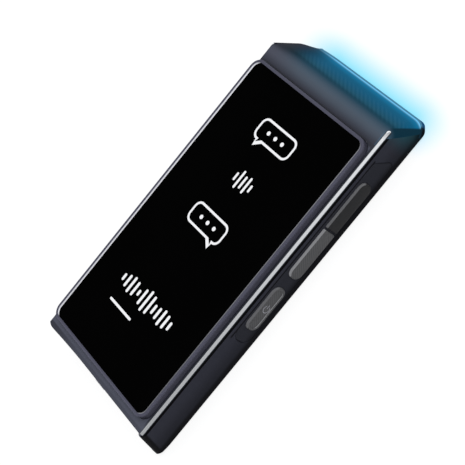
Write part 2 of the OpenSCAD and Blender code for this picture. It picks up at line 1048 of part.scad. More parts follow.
// Holes in the panel for the three caps
module cap_holes() {
    translate([upper_talk_y, talk_z])
        button_outline(upper_talk_l, talk_w, UPPER_ENDS, button_gap);
    translate([lower_talk_y, talk_z])
        button_outline(lower_talk_l, talk_w, LOWER_ENDS, button_gap);
    translate([power_y - power_l / 2, power_z])
        button_outline(power_l, power_w, POWER_ENDS, button_gap);
}

// Windows in the cover's wall, behind the panel, for the flanges
module flange_windows() {
    grow = flange_lip + button_gap;
    translate([lower_talk_y - grow, talk_z - talk_w / 2 - grow])
        square([upper_talk_y + upper_talk_l - lower_talk_y + 2 * grow, talk_w + 2 * grow]);
    translate([power_y - power_l / 2 - grow, power_z - power_w / 2 - grow])
        square([power_l + 2 * grow, power_w + 2 * grow]);
}

module button_panel() {
    color("#232327")
        on_right_side(0, 0)
            translate([0, 0, -panel_t])
                linear_extrude(panel_t)
                    difference() {
                        panel_outline(0);
                        cap_holes();
                    }
}

// A button that slides straight in: a cap with softened edges, and a flange behind the panel
module side_button(length, width, round_ends) {
    translate([0, 0, flange_z]) {
        linear_extrude(flange_t)
            intersection() {
                button_outline(length, width, round_ends, flange_lip);
                // The flanges of neighbouring flat ends stay apart
                translate([round_ends[0] ? -body_l : -end_lip, -body_w])
                    square([
                        length + (round_ends[0] ? body_l : end_lip) + (round_ends[1] ? body_l : end_lip),
                        2 * body_w
                    ]);
            }
        linear_extrude(proud - flange_z)
            button_outline(length, width, round_ends);
    }
}

module upper_talk_button() {
    color("#3c3c42")
        on_right_side(upper_talk_y, talk_z)
            side_button(upper_talk_l, talk_w, UPPER_ENDS);
}

module lower_talk_button() {
    color("#55555c")
        on_right_side(lower_talk_y, talk_z)
            side_button(lower_talk_l, talk_w, LOWER_ENDS);
}

module power_button() {
    color("#55555c")
        on_right_side(power_y - power_l / 2, power_z)
            side_button(power_l, power_w, POWER_ENDS);
}

module key_switch() {
    translate([0, 0, switch_base_t / 2])
        cube([switch_base, switch_base, switch_base_t], center = true);
    cylinder(h = switch_h, d = switch_tip_d);
}

module key_switches() {
    color("silver") {
        for (y = [lower_talk_y + lower_talk_l / 2, upper_talk_y + upper_talk_l / 2])
            on_right_side(y, talk_z)
                translate([0, 0, key_face])
                    key_switch();
        on_right_side(power_y, power_z)
            translate([0, 0, key_face])
                key_switch();
    }
}

module key_board() {
    color("darkgreen")
        block(
            [half_w + key_face - board_t, key_board_y0, wall],
            [half_w + key_face, key_board_y1, wall + key_board_h]
        );
}

// ---- Volume rocker ----

module volume_rocker() {
    color("#3c3c42")
        on_left_side(rocker_y, rocker_z)
            difference() {
                union() {
                    translate([0, 0, rocker_flange_z])
                        round_slot(rocker_l, rocker_w, proud - rocker_flange_z);
                    translate([0, 0, rocker_flange_z])
                        round_slot(rocker_l + 2 * flange_lip, rocker_w + 2 * flange_lip, flange_t);
                    translate([-lug_r, -lug_w / 2, pivot_z])
                        cube([2 * lug_r, lug_w, -pivot_z + rocker_flange_z + flange_t]);
                    translate([0, -lug_w / 2, pivot_z])
                        rotate([-90, 0, 0])
                            cylinder(h = lug_w, r = lug_r);
                }
                translate([0, -lug_w, pivot_z])
                    rotate([-90, 0, 0])
                        cylinder(h = 2 * lug_w, d = pivot_d + 2 * shaft_gap);
            }
}

module rocker_pin() {
    color("silver")
        translate([-half_w - pivot_z, rocker_y, bracket_low])
            cylinder(h = 2 * (rocker_z - bracket_low), d = pivot_d);
}

module volume_board() {
    notch = lug_r + lug_gap;
    low = bracket_low - lug_gap;
    length = 2 * (volume_reach + volume_inset);
    color("darkgreen")
        difference() {
            block(
                [-half_w - volume_face, rocker_y - length / 2, wall],
                [-half_w - volume_face + board_t, rocker_y + length / 2, wall + key_board_h]
            );
            block(
                [-half_w, rocker_y - notch, low],
                [0, rocker_y + notch, body_t]
            );
        }
}

module volume_switches() {
    color("silver")
        for (end = [-1, 1])
            on_left_side(rocker_y + end * volume_reach, rocker_z)
                translate([0, 0, volume_face])
                    key_switch();
}

// ---- Card tray ----

module sim_tray() {
    color("#3a3a40")
        difference() {
            union() {
                on_left_side(tray_y, tray_z)
                    translate([0, 0, -wall])
                        round_slot(tray_w, tray_face_h, wall);
                block(
                    [-half_w + wall / 2, tray_y - tray_body_w / 2, tray_z - tray_t / 2],
                    [tray_end_x, tray_y + tray_body_w / 2, tray_z + tray_t / 2]
                );
            }
            card_space(card_gap);
            on_left_side(tray_y, tray_z)
                translate([tray_w / 2 - eject_inset, 0, -wall - 1])
                    cylinder(h = wall + 2, d = eject_d);
        }
}

// The card's place in the tray, grown by a gap to its sides
module card_space(gap) {
    low = tray_z - tray_t / 2 + tray_floor_t;
    block(
        [tray_end_x - card_back - card_l - gap, tray_y - card_w / 2 - gap, low],
        [tray_end_x - card_back + gap, tray_y + card_w / 2 + gap, low + max(tray_t, card_t) + gap * 2]
    );
}

module sim_card() {
    low = tray_z - tray_t / 2 + tray_floor_t;
    color("#c9a14a")
        translate([tray_end_x - card_back - card_l / 2, tray_y, low])
            rounded_box([card_l, card_w, card_t], card_r);
}

// A pressed cage on the main board, open towards the side of the body
module sim_socket() {
    end_x = tray_end_x + 2 * fit_gap + cage_t;
    side = tray_body_w / 2 + fit_gap;
    low = board_top + cage_t;
    high = low + tray_t + 2 * fit_gap;
    color("lightgray")
        difference() {
            block(
                [socket_x, tray_y - side - cage_t, board_top],
                [end_x, tray_y + side + cage_t, high + cage_t]
            );
            block([socket_x - 1, tray_y - side, low], [end_x - cage_t, tray_y + side, high]);
        }
}

// ---- Boards ----

module main_board() {
    notch = camera_w / 2 + notch_gap;
    color("darkgreen")
        difference() {
            translate([0, board_y + board_l / 2, board_z])
                rounded_box([board_w, board_l, board_t], board_r);
            block([camera_x - notch, camera_y - notch, 0], [camera_x + notch, head_y, body_t]);
            for (place = board_screws)
                translate([place.x, place.y, board_z - 1])
                    cylinder(h = board_t + 2, d = screw_d + 2 * shaft_gap);
        }
}

module shield_can(low, high) {
    difference() {
        block([low.x, low.y, board_top], [high.x, high.y, board_top + shield_h]);
        block(
            [low.x + can_skin, low.y + can_skin, board_top - 1],
            [high.x - can_skin, high.y - can_skin, board_top + shield_h - can_skin]
        );
    }
}

module shield_cans() {
    left = tray_end_x + can_gap;
    right = board_w / 2 - can_inset;
    color("silver") {
        shield_can([left, board_y + can_inset], [right, display_flex_y - can_gap]);
        shield_can([left, display_flex_y + 2 * can_gap], [right, board_y + board_l - can_inset]);
    }
}

module usb_board() {
    color("darkgreen")
        difference() {
            translate([0, usb_y + usb_board_l / 2, board_z])
                rounded_box([usb_board_w, usb_board_l, board_t], board_r);
            block(
                [-usb_w / 2 - fit_gap, usb_y - 1, 0],
                [usb_w / 2 + fit_gap, usb_front_y + usb_l + fit_gap, body_t]
            );
            for (place = usb_screws)
                translate([place.x, place.y, board_z - 1])
                    cylinder(h = board_t + 2, d = screw_d + 2 * shaft_gap);
        }
}

module usb_socket() {
    color("silver")
        translate([0, usb_front_y + usb_l, board_mid])
            rotate([90, 0, 0]) {
                difference() {
                    round_slot(usb_w, usb_h, usb_l);
                    translate([0, 0, usb_base_t])
                        round_slot(usb_w - 2 * usb_skin, usb_h - 2 * usb_skin, usb_l);
                }
                translate([-usb_tongue.x / 2, -usb_tongue.y / 2, tongue_start])
                    cube([usb_tongue.x, usb_tongue.y, usb_l - tongue_start - tongue_back]);
            }
    color("silver")
        for (side = [-1, 1])
            translate([
                side * (usb_w / 2 + usb_foot_out) - usb_foot.x / 2,
                usb_front_y + usb_l - usb_foot.y - tongue_start,
                board_top
            ])
                cube(usb_foot);
}

module main_flex() {
    low = usb_y + usb_board_l - flex_overlap;
    high = board_y + flex_overlap;
    side = flex_w / 2;
    plug_side = side + flex_plug_lip;
    color("#8a4b16") {
        block([flex_x - side, low, board_top], [flex_x + side, high, board_top + flex_t]);
        for (y = [low, high - flex_plug_l])
            block(
                [flex_x - plug_side, y, board_top + flex_t],
                [flex_x + plug_side, y + flex_plug_l, board_top + flex_plug_h]
            );
    }
}

// Hangs from the display through the middle frame and turns onto the board's connector
module display_flex() {
    rest = board_top + display_plug_h;
    side = flex_w / 2;
    tail_end = flex_bend + display_tail_l;
    color("#8a4b16")
        translate([flex_x, display_flex_y, 0]) {
            block([-side, 0, rest + flex_bend], [side, flex_t, plate_top]);
            translate([-side, flex_bend, rest + flex_bend])
                rotate([90, 0, 90])
                    linear_extrude(flex_w)
                        intersection() {
                            difference() {
                                circle(flex_bend);
                                circle(flex_bend - flex_t);
                            }
                            translate([-flex_bend, -flex_bend]) square(flex_bend);
                        }
            block([-side, flex_bend, rest], [side, tail_end, rest + flex_t]);
            block([-side, flex_bend, board_top], [side, tail_end, rest]);
        }
}

module light_board() {
    color("darkgreen")
        block(
            [-light_board_l / 2, head_y - guide_l + light_overlap - light_board_w, light_top],
            [light_board_l / 2, head_y - guide_l + light_overlap, light_top + board_t]
        );
}

module light_chips() {
    color("white")
        for (i = [0:chip_count - 1])
            translate([
                (i - (chip_count - 1) / 2) * chip_pitch - chip_size.x / 2,
                head_y - guide_l - chip_size.y,
                light_top - chip_size.z
            ])
                cube(chip_size);
}

module microphones() {
    color("gold") {
        translate([mic_x, usb_y + mic_inset, board_top]) microphone();
        translate([head_mic_x, board_y + board_l - mic_inset, board_top]) microphone();
    }
}

module microphone() {
    translate([-mic_size.x / 2, -mic_size.y / 2, 0])
        cube(mic_size);
}

module case_screws() {
    color("silver") {
        for (place = frame_screws)
            translate([place.x, place.y, plate_top - screw_head_t]) screw();
        for (place = concat(board_screws, usb_screws))
            translate([place.x, place.y, board_top]) screw();
    }
}

// A pan-head screw whose head rests on z = 0
module screw() {
    cylinder(h = screw_head_t, d = screw_head_d);
    translate([0, 0, -screw_l])
        cylinder(h = screw_l, d = screw_d);
}

module screw_hole() {
    translate([0, 0, -screw_l - 1])
        cylinder(h = screw_l + 2, d = screw_d + 2 * shaft_gap);
}

// ---- Battery, sound and camera ----

module battery() {
    color("#9a9da3")
        translate([0, battery_y + battery_l / 2, wall + pad_t])
            rounded_box([battery_w, battery_l, battery_t], battery_r);
}

module battery_pad() {
    color("#202020")
        translate([0, battery_y + battery_l / 2, wall])
            rounded_box([battery_w - 2 * pad_inset, battery_l - 2 * pad_inset, pad_t], pad_r);
}

module loudspeaker() {
    color("#1a1a1c")
        translate([0, speaker_y + speaker_w / 2, wall + mesh_t])
            difference() {
                rounded_box([speaker_l, speaker_w, speaker_h], speaker_r);
                translate([0, 0, -1])
                    round_slot(speaker_l - cone_inset.x, speaker_w - cone_inset.y, 1 + cone_depth);
            }
}

module speaker_mesh() {
    color("#444448")
        translate([0, speaker_y + speaker_w / 2, wall])
            round_slot(grille_slots * slot_pitch + 4 * mesh_lap, slot_l + 2 * mesh_lap, mesh_t);
}

module vibration_motor() {
    color("silver")
        translate([-speaker_l / 2 - motor_d / 2 - motor_gap, speaker_y + motor_d / 2 + motor_rise, wall])
            cylinder(h = motor_t, d = motor_d);
}

module camera_module() {
    color("#141416")
        translate([camera_x, camera_y, 0]) {
            translate([0, 0, wall])
                rounded_box([camera_w, camera_w, camera_h], camera_r);
            translate([0, 0, window_t])
                cylinder(h = wall - window_t + 1, d = barrel_d);
        }
}

module camera_window() {
    color("#0a0c12")
        translate([camera_x, camera_y, 0])
            cylinder(h = window_t, d = window_d);
}

module flash_lens() {
    color("#f4efd8")
        translate([camera_x + flash_pitch, camera_y, 0])
            cylinder(h = wall, d = flash_d);
}

rear_cover();
middle_frame();
front_frame();
head_lens();
light_guide();
light_board();
light_chips();
trim_left();
trim_right();
screen_bezel();
cover_glass();
glass_adhesive();
display_panel();
button_panel();
upper_talk_button();
lower_talk_button();
power_button();
key_board();
key_switches();
volume_rocker();
rocker_pin();
volume_board();
volume_switches();
sim_tray();
sim_card();
sim_socket();
main_board();
shield_cans();
case_screws();
battery();
battery_pad();
loudspeaker();
speaker_mesh();
usb_board();
usb_socket();
main_flex();
display_flex();
microphones();
vibration_motor();
camera_module();
camera_window();
flash_lens();
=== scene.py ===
"""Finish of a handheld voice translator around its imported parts: housing, lit head, screen, keys, studio."""
import json
from math import cos, pi, radians, sin, tan, tau

import bmesh
import bpy
import numpy as np
from bpy.props import FloatProperty, FloatVectorProperty, PointerProperty
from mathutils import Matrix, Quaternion, Vector


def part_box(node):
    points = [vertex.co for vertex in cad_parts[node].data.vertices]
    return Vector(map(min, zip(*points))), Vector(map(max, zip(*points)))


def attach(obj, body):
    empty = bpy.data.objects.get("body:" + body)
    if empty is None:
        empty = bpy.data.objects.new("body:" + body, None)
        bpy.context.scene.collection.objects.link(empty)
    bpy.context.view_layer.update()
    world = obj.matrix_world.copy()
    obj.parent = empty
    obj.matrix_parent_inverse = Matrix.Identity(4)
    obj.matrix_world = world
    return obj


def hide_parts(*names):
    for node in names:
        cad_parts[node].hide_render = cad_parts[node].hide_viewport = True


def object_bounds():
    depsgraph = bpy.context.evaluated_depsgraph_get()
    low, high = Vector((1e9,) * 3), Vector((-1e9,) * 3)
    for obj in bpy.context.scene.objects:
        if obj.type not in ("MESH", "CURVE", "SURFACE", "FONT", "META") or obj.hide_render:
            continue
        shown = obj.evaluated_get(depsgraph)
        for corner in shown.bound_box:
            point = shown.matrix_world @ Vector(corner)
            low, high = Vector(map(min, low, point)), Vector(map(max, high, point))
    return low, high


bl_info = {
    "name": "Voice translator finish",
    "version": (1, 0, 0),
    "blender": (4, 5, 0),
    "location": "View3D > Sidebar > Translator",
    "description": "Surfaces, finishes and studio of a slim voice translator with a lit head",
    "category": "Object",
}

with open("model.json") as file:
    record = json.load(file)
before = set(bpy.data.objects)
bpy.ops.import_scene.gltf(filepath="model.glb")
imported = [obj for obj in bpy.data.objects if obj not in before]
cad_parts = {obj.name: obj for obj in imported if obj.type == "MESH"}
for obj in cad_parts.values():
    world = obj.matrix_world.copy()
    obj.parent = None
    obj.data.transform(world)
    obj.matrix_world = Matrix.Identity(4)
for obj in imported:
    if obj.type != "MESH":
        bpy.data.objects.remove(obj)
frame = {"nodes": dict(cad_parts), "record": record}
CAD_LOW, CAD_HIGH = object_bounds()
MM = 0.001
GLASS_LOW, GLASS_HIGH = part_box("cover_glass")
RIM_LOW, RIM_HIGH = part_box("screen_bezel")
LEDGE_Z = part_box("glass_adhesive")[0].z
DISPLAY_LOW, DISPLAY_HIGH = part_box("display_panel")
FACE_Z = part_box("front_frame")[1].z
HEAD_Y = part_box("head_lens")[1].y
FOOT_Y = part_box("rear_cover")[0].y
TIP_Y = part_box("trim_right")[1].y
LIP_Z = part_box("light_guide")[0].z
SIDE_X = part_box("button_panel")[1].x


def tint(red, green, blue):
    """A screen colour, 0 to 255, as linear light: ((c + 0.055) / 1.055) ^ 2.4."""
    return tuple(((c / 255 + 0.055) / 1.055) ** 2.4 for c in (red, green, blue))


def size(name, description, length):
    """A length of the finish, given in millimetres."""
    return FloatProperty(
        name=name, description=description, default=length * MM, min=0.0, precision=6, unit="LENGTH"
    )


def colour(name, description, *levels):
    """A colour of the finish, given as a screen colour and kept as linear light."""
    shade = tint(*levels)
    return FloatVectorProperty(
        name=name, description=description, default=shade, min=0.0, max=1.0, size=3, subtype="COLOR"
    )


class TranslatorSizes(bpy.types.PropertyGroup):
    """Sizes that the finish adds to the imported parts."""

    seam_edge: size("Seam edge", "Rounding of the housing's cut edges", 0.1)
    trim_edge: size("Trim edge", "Rounding of the bright trims", 0.12)
    rim_edge: size("Rim edge", "Rounding of the screen rim's outer edge", 0.25)
    rim_bevel_width: size("Bevel width", "Width of the bright bevel beside the glass", 0.7)
    rim_bevel_depth: size("Bevel depth", "Depth of the bright bevel", 0.2)
    glass_gap: size("Glass gap", "Gap between the glass and its rim", 0.1)
    glass_edge: size("Glass edge", "Rounding of the glass's upper edge", 0.15)
    glass_radius: size("Glass corner", "Corner radius of the glass", 3)
    rim_radius: size("Rim corner", "Corner radius of the rim", 4.3)
    mark_height: size("Mark height", "Thickness of the lit marks on the glass and keys", 0.02)
    bubble_width: size("Bubble width", "Width of a speech bubble on the screen", 21)
    bubble_height: size("Bubble height", "Height of a speech bubble", 9)
    bubble_stroke: size("Bubble stroke", "Line width of a speech bubble", 0.9)
    bar_width: size("Bar width", "Width of a sound bar", 1.2)
    bar_pitch: size("Bar pitch", "Distance between sound bars", 2.7)
    bar_height: size("Bar height", "Height of the tallest sound bar", 9)
    key_edge: size("Key edge", "Rounding around the keys' faces", 0.25)
    key_brow: size("Key brow", "Height of the slanted band along a key's upper edge", 1.1)
    key_drop: size("Key drop", "How far that band falls back", 0.5)
    dish_rim: size("Dish rim", "Width of the rim around the power button's dish", 0.9)
    dish_depth: size("Dish depth", "Depth of the power button's dish", 0.3)
    key_corner: size("Key corner", "Corner radius at a key's flat end", 0.6)
    flange_thickness: size("Flange thickness", "Thickness of the keys' flanges", 0.6)
    flange_lip: size("Flange lip", "How far a key's flange reaches beyond its cap", 0.7)
    flat_lip: size("Flat lip", "The same at a key's flat end", 0.3)
    symbol_radius: size("Symbol radius", "Radius of the power symbol", 1.45)
    symbol_stroke: size("Symbol stroke", "Line width of the power symbol", 0.28)
    window_edge: size("Window edge", "Rounding of the camera window", 0.15)
    rib_pitch: size("Rib pitch", "Pitch of the light ribs behind the lens", 2.4)
    corner_shift: size("Corner shift", "How far the head's left corner is rounded in", 3.4)
    corner_drop: size("Corner drop", "How far the head's end falls back beside that corner", 0.35)
    chin_pull: size("Chin pull", "How far the face's edge stands back at the foot", 0.83)
    chin_round: size("Chin rounding", "How far the foot's left corner is rounded back", 2.2)
    keel_fill: size("Keel fill", "How far the cover's rounded edges are filled out", 0.22)
    foot_fill: size("Foot fill", "How far the foot's right corner is filled out", 0.5)
    tip_bend: size("Tip bend", "How far the right trim's upper tip turns outwards", 0.4)
    hatch_pitch: size("Hatch pitch", "Pitch of the diagonal grip lines on the lower key", 0.9)
    halo_reach: size("Halo reach", "How far the head's light spreads on the floor", 13)
    floor_width: size("Floor width", "Width of the studio floor", 4000)


class TranslatorColours(bpy.types.PropertyGroup):
    """Colours of the finish, as linear light."""

    slate: colour("Slate", "Flat of the head", 72, 81, 92)
    # painted shade: the head's slate as painted darker at its left end
    slate_left: colour("Left slate", "Flat of the head at its left end", 72, 74, 85)
    cover: colour("Cover", "Rear cover and its sides", 40, 41, 49)
    edge: colour("Edge", "Black line of the middle frame", 5, 5, 7)
    smoke: colour("Smoke", "Body of the smoked lens", 8, 12, 16)
    glow_high: colour("High glow", "Light in the upper part of the lens", 16, 70, 92)
    glow_low: colour("Low glow", "Light in the lower part of the lens", 12, 99, 137)
    light: colour("Light", "The light line", 108, 192, 238)
    chrome: colour("Chrome", "Bright trims", 246, 246, 247)
    rim: colour("Rim", "Screen rim", 64, 64, 76)
    bevel: colour("Bevel", "Bright bevel beside the glass", 150, 150, 154)
    glass: colour("Glass", "Cover glass", 0.5, 0.5, 0.5)
    marks: colour("Marks", "Lit marks on the screen", 246, 247, 250)
    panel: colour("Panel", "Button panel", 36, 37, 43)
    chin: colour("Chin", "Front frame around the screen", 67, 69, 80)
    upper_key: colour("Upper key", "Upper talk button and rocker", 39, 39, 40)
    lower_key: colour("Lower key", "Lower talk button and power button", 75, 75, 76)
    # painted highlights of the keys' upward faces
    upper_brow_highlight: colour("Upper brow", "Lit band of the upper talk and power buttons", 90, 90, 92)
    lower_brow_highlight: colour("Lower brow", "Lit band of the lower talk button, and of the dish", 124, 124, 126)
    symbol: colour("Symbol", "Power symbol", 134, 134, 140)
    floor: colour("Floor", "Studio floor", 251, 251, 252)
    # painted light: the head's glow as painted on the floor
    halo: colour("Halo", "Light of the head on the floor", 121, 225, 255)


def sizes():
    """The sizes in use."""
    return bpy.context.scene.translator_sizes


def colours():
    """The colours in use."""
    return bpy.context.scene.translator_colours


# ---- Shader maths ----


class Signal:
    """An output in a finish's graph. Arithmetic on it adds Math nodes."""

    def __init__(self, finish, socket):
        self.finish = finish
        self.socket = socket

    def maths(self, operation, *values):
        """One Math node on this signal and other values, in that order."""
        return self.finish.add("ShaderNodeMath", {"operation": operation}, dict(enumerate((self, *values))))

    def reflected(self, operation, value):
        """One Math node with the other value first."""
        return self.finish.add("ShaderNodeMath", {"operation": operation}, {0: value, 1: self})

    def __add__(self, other):
        return self.maths("ADD", other)

    __radd__ = __add__

    def __sub__(self, other):
        return self.maths("SUBTRACT", other)

    def __rsub__(self, other):
        return self.reflected("SUBTRACT", other)

    def __mul__(self, other):
        return self.maths("MULTIPLY", other)

    __rmul__ = __mul__

    def __truediv__(self, other):
        return self.maths("DIVIDE", other)

    def __rtruediv__(self, other):
        return self.reflected("DIVIDE", other)

    def __abs__(self):
        return self.maths("ABSOLUTE")

    def sine(self):
        """The sine of the signal, in radians."""
        return self.maths("SINE")

    def at_least(self, floor):
        """The larger of the signal and another value."""
        return self.maths("MAXIMUM", floor)

    def at_most(self, ceiling):
        """The smaller of the signal and another value."""
        return self.maths("MINIMUM", ceiling)

    def root(self):
        """The square root of the signal."""
        return self.maths("SQRT")

    def step(self, low, high):
        """0 below low, 1 above high, and a smooth 3 t^2 - 2 t^3 between."""
        return self.finish.add(
            "ShaderNodeMapRange",
            {"interpolation_type": "SMOOTHSTEP"},
            {"Value": self, "From Min": low, "From Max": high},
        )


class Finish:
    """A node graph under construction, of a material or of the world."""

    def __init__(self, name, kind="materials"):
        self.owner = getattr(bpy.data, kind).new(name)
        self.owner.use_nodes = True
        self.tree = self.owner.node_tree
        self.tree.nodes.clear()

    def add(self, kind, settings=None, inputs=None, output=0):
        """Places a node: its settings and ramp stops first, then the values or links of its sockets."""
        node = self.tree.nodes.new(kind)
        for key, value in (settings or {}).items():
            if key == "stops":
                self.set_stops(node.color_ramp, value)
            else:
                setattr(node, key, value)
        for key, value in (inputs or {}).items():
            socket = node.inputs[key]
            if isinstance(value, Signal):
                self.tree.links.new(value.socket, socket)
            elif socket.type == "RGBA":
                socket.default_value = (*value, 1.0)
            else:
                socket.default_value = value
        return Signal(self, node.outputs[output]) if len(node.outputs) else None

    @staticmethod
    def set_stops(ramp, stops):
        """Gives a colour ramp its stops, a list of (place, colour)."""
        while len(ramp.elements) < len(stops):
            ramp.elements.new(1.0)
        for element, (place, shade) in zip(ramp.elements, stops):
            element.position = place
            element.color = (*shade, 1.0)

    def place(self):
        """Object coordinates."""
        return self.add("ShaderNodeTexCoord", output="Object")

    def xyz(self):
        """Object coordinates, one signal for each axis, in millimetres."""
        split = self.add("ShaderNodeSeparateXYZ", inputs={0: self.place()})
        outputs = split.socket.node.outputs
        return [Signal(self, outputs[axis]) * (1 / MM) for axis in range(3)]

    def noise(self, grain, detail=2.0, stretch=(1, 1, 1)):
        """Smooth noise whose features are about one grain across, in mm, stretched along the axes."""
        spread = self.add("ShaderNodeMapping", inputs={"Vector": self.place(), "Scale": stretch})
        inputs = {"Vector": spread, "Scale": 1 / (grain * MM), "Detail": detail}
        return self.add("ShaderNodeTexNoise", inputs=inputs)

    def mix(self, factor, first, second):
        """A colour between two colours."""
        return self.add("ShaderNodeMix", {"data_type": "RGBA"}, {0: factor, 6: first, 7: second}, output=2)

    def bump(self, height, depth, under=None):
        """Surface relief of the given depth in mm."""
        inputs = {"Height": height, "Distance": depth * MM}
        if under:
            inputs["Normal"] = under
        return self.add("ShaderNodeBump", inputs=inputs)

    def surface(self, tone, roughness, gloss=0.5, metal=0.0, glow=None, relief=None):
        """Ends the graph in a Principled shader. Gloss is its specular level, glow the light it gives."""
        inputs = {"Base Color": tone, "Roughness": roughness, "Specular IOR Level": gloss, "Metallic": metal}
        if glow:
            inputs |= {"Emission Color": glow, "Emission Strength": 1.0}
        if relief:
            inputs["Normal"] = relief
        shader = self.add("ShaderNodeBsdfPrincipled", inputs=inputs)
        self.add("ShaderNodeOutputMaterial", inputs={"Surface": shader})
        return self.owner

    def plastic(self, tone, high, roughness, gloss, share=0.1, patch=14, relief=0.004, grain=0.25, glow=None):
        """Ends the graph in moulded plastic: its tone drifts by a share towards a high one in slow patches,
        and a fine stipple covers it. Patch, relief and grain are in mm."""
        drift = self.noise(patch)
        tone = self.mix(share * drift, tone, high)
        stipple = self.bump(self.noise(grain), relief)
        return self.surface(tone, roughness + 0.08 * drift, gloss, glow=glow, relief=stipple)


DARK = (0.0, 0.0, 0.0)
WHITE = (1.0, 1.0, 1.0)
# The head's slope, from upright.
HEAD_LEAN = radians(33.2)
# |x| - z on the middle line of the trims, in mm.
TRIM_MIDDLE = 19.16
# The grain of drawn metal, stretched along the body.
DRAWN = (1, 0.04, 1)
# Where the face ends on the left, and where the trims begin on either side, in mm from the middle.
FACE_LEFT = -34
TRIM_X = 34.3
# How far in from the head's end its left corner is shaped, and from the right trim's end its tip, in mm.
CORNER_DEPTH = 3.85
TIP_LENGTH = 4.5


def shaded(shade, factor):
    """A colour made lighter or darker."""
    return tuple(min(c * factor, 1.0) for c in shade)


def foot_depth(y, z):
    """How far a place stands in from the foot's slanted end, where y = -75.9 + 0.2735 (z - 1.8) mm."""
    return y + 75.9 - 0.2735 * (z - 1.8)


def moulded(name, shade, roughness=0.5, gloss=0.08, relief=0.004):
    """Moulded plastic: fine stipple in the surface, and slow drifts of tone and gloss."""
    finish = Finish(name)
    drift = finish.noise(14)
    tone = finish.mix(drift, shaded(shade, 0.94), shaded(shade, 1.06))
    stipple = finish.bump(finish.noise(0.25), relief)
    return finish.surface(tone, roughness - 0.05 + 0.1 * drift, gloss, relief=stipple)


def bevel_finish():
    """Bright metal with faint drawing lines along the body."""
    finish = Finish("bevel")
    lines = finish.noise(0.2, stretch=DRAWN)
    tone = finish.mix(lines, shaded(colours().bevel, 0.97), colours().bevel)
    return finish.surface(tone, 0.27 + 0.06 * lines, metal=1.0)


def trim_finish():
    """Polished trim with painted shade on its flanks, which are dark slate in place of metal: the metal shows
    on the middle of the chamfer only. The place across it is |x| - z, measured from the chamfer's middle."""
    finish = Finish("chrome")
    x, _, z = finish.xyz()
    across = abs(x) - z - TRIM_MIDDLE
    # painted shade: off the chamfer's middle the trim is dark slate, not metal
    polish = across.step(-0.9, -0.5) * (1 - across.step(0.6, 0.95))
    bright = finish.mix(finish.noise(0.2, stretch=DRAWN), shaded(colours().chrome, 0.96), colours().chrome)
    tone = finish.mix(polish, shaded(colours().slate, 0.3), bright)
    return finish.surface(tone, 0.3 - 0.14 * polish, gloss=0.1, metal=polish)


def cover_finish():
    """Soft dark plastic, with painted shade that darkens it towards the back, a painted shadow line round the
    foot, and a painted shadow line above the panel. Near the head the sides are darker and take a painted glow
    of the head's light, which is also painted on its thin lip."""
    finish = Finish("cover")
    x, y, z = finish.xyz()
    head = HEAD_Y / MM
    lip = y.step(head - 1.4, head - 0.4) * (1 - z.step(1.0, 1.6)) * x.step(FACE_LEFT, -26)
    near = y.step(60, 71)
    # painted light: the head's glow painted on the sides near it
    glow = finish.mix(near * z.step(0, 10), DARK, (0.0, 0.045, 0.06))
    shade = colours().cover
    # painted shade: the sides grow darker towards the back, where less light reaches them
    rise = z.step(2.4, 4.6) * 0.55 + z.step(4, 12) * 0.45
    tone = finish.mix(rise, shaded(shade, 0.08), shade)
    # painted shade: a dark band along the sides at the foot's end, where the side curves away; the sides near
    # the head are darkened as well
    foot = (1 - foot_depth(y, z).step(2.1, 3.1)) * abs(x).step(33.5, TRIM_X)
    tone = finish.mix(foot.at_least(0.5 * near), tone, shaded(shade, 0.04))
    # painted shadow: a dark line on the cover just above the panel's seam
    seam = z.step(12.1, 12.3) * (1 - z.step(12.9, 13.1)) * y.step(-25, -24) * (1 - y.step(54, 55))
    tone = finish.mix(seam, tone, shaded(shade, 0.12))
    # painted light: the head's glow painted on the thin lip below it
    glow = finish.mix(lip, glow, tint(18, 72, 112))
    return finish.plastic(tone, shaded(shade, 1.3), 0.42, 0.02, share=0.12, glow=glow)


def panel_finish():
    """Panel plastic, with painted shade that darkens it towards the back, and darker along its slanted end
    line, where y + 0.52 z = 60.5 mm.
    """
    finish = Finish("panel")
    _, y, z = finish.xyz()
    end = y + 0.52 * z - 60.5
    seam = (1 - abs(end).step(0.2, 0.7) + (1 - y.step(-24.0, -23.7))).at_most(1.0)
    shade = colours().panel
    # painted shade: the panel grows darker towards the back
    tone = finish.mix(z.step(2.0, 6.5), shaded(shade, 0.15), shaded(shade, 0.95))
    tone = finish.mix(0.75 * end.step(0.2, 0.6), tone, shaded(colours().cover, 0.95))
    tone = finish.mix(seam, tone, shaded(shade, 0.45))
    return finish.plastic(tone, shaded(shade, 1.3), 0.5, 0.02)


def chin_finish():
    """Front frame: slate with painted shade in the narrow channels beside and above the screen, and painted
    shade that darkens it along its edge at the foot."""
    finish = Finish("slate")
    x, y, z = finish.xyz()
    # painted shade: the narrow channels beside and above the screen, in the rim's shadow
    channel = (abs(x).step(33.6, 34.1) * y.step(-69, -65) + y.step(56.5, 57.6)).at_most(1.0)
    shade = colours().chin
    tone = finish.mix(channel, shade, shaded(shade, 0.35))
    # painted shade: the rounded edge at the foot is darker, most at the left
    edge = finish.mix(x.step(-32, -12), shaded(shade, 0.45), shaded(shade, 0.76))
    tone = finish.mix(y.step(-69.9, -69.3), edge, tone)
    # painted shade: the foot's face darker below the front
    tone = finish.mix(z.step(15.0, 16.3), shaded(shade, 0.6), tone)
    return finish.plastic(tone, shaded(shade, 1.3), 0.42, 0.08, patch=12)


def rim_finish():
    """Screen rim: painted shade makes its wall darker than its rounded top, and a painted highlight makes the
    top brightest at the foot.
    """
    finish = Finish("bezel")
    _, y, z = finish.xyz()
    shade = colours().rim
    # painted highlight on the top at the foot, and painted shade on the wall below
    top = finish.mix(y.step(-66.9, -66.2), shaded(shade, 1.4), shaded(shade, 1.05))
    tone = finish.mix(z.step(18.2, 19.1), shaded(shade, 0.62), top)
    return finish.plastic(tone, shaded(shade, 1.3), 0.4, 0.05, patch=12, relief=0.003)


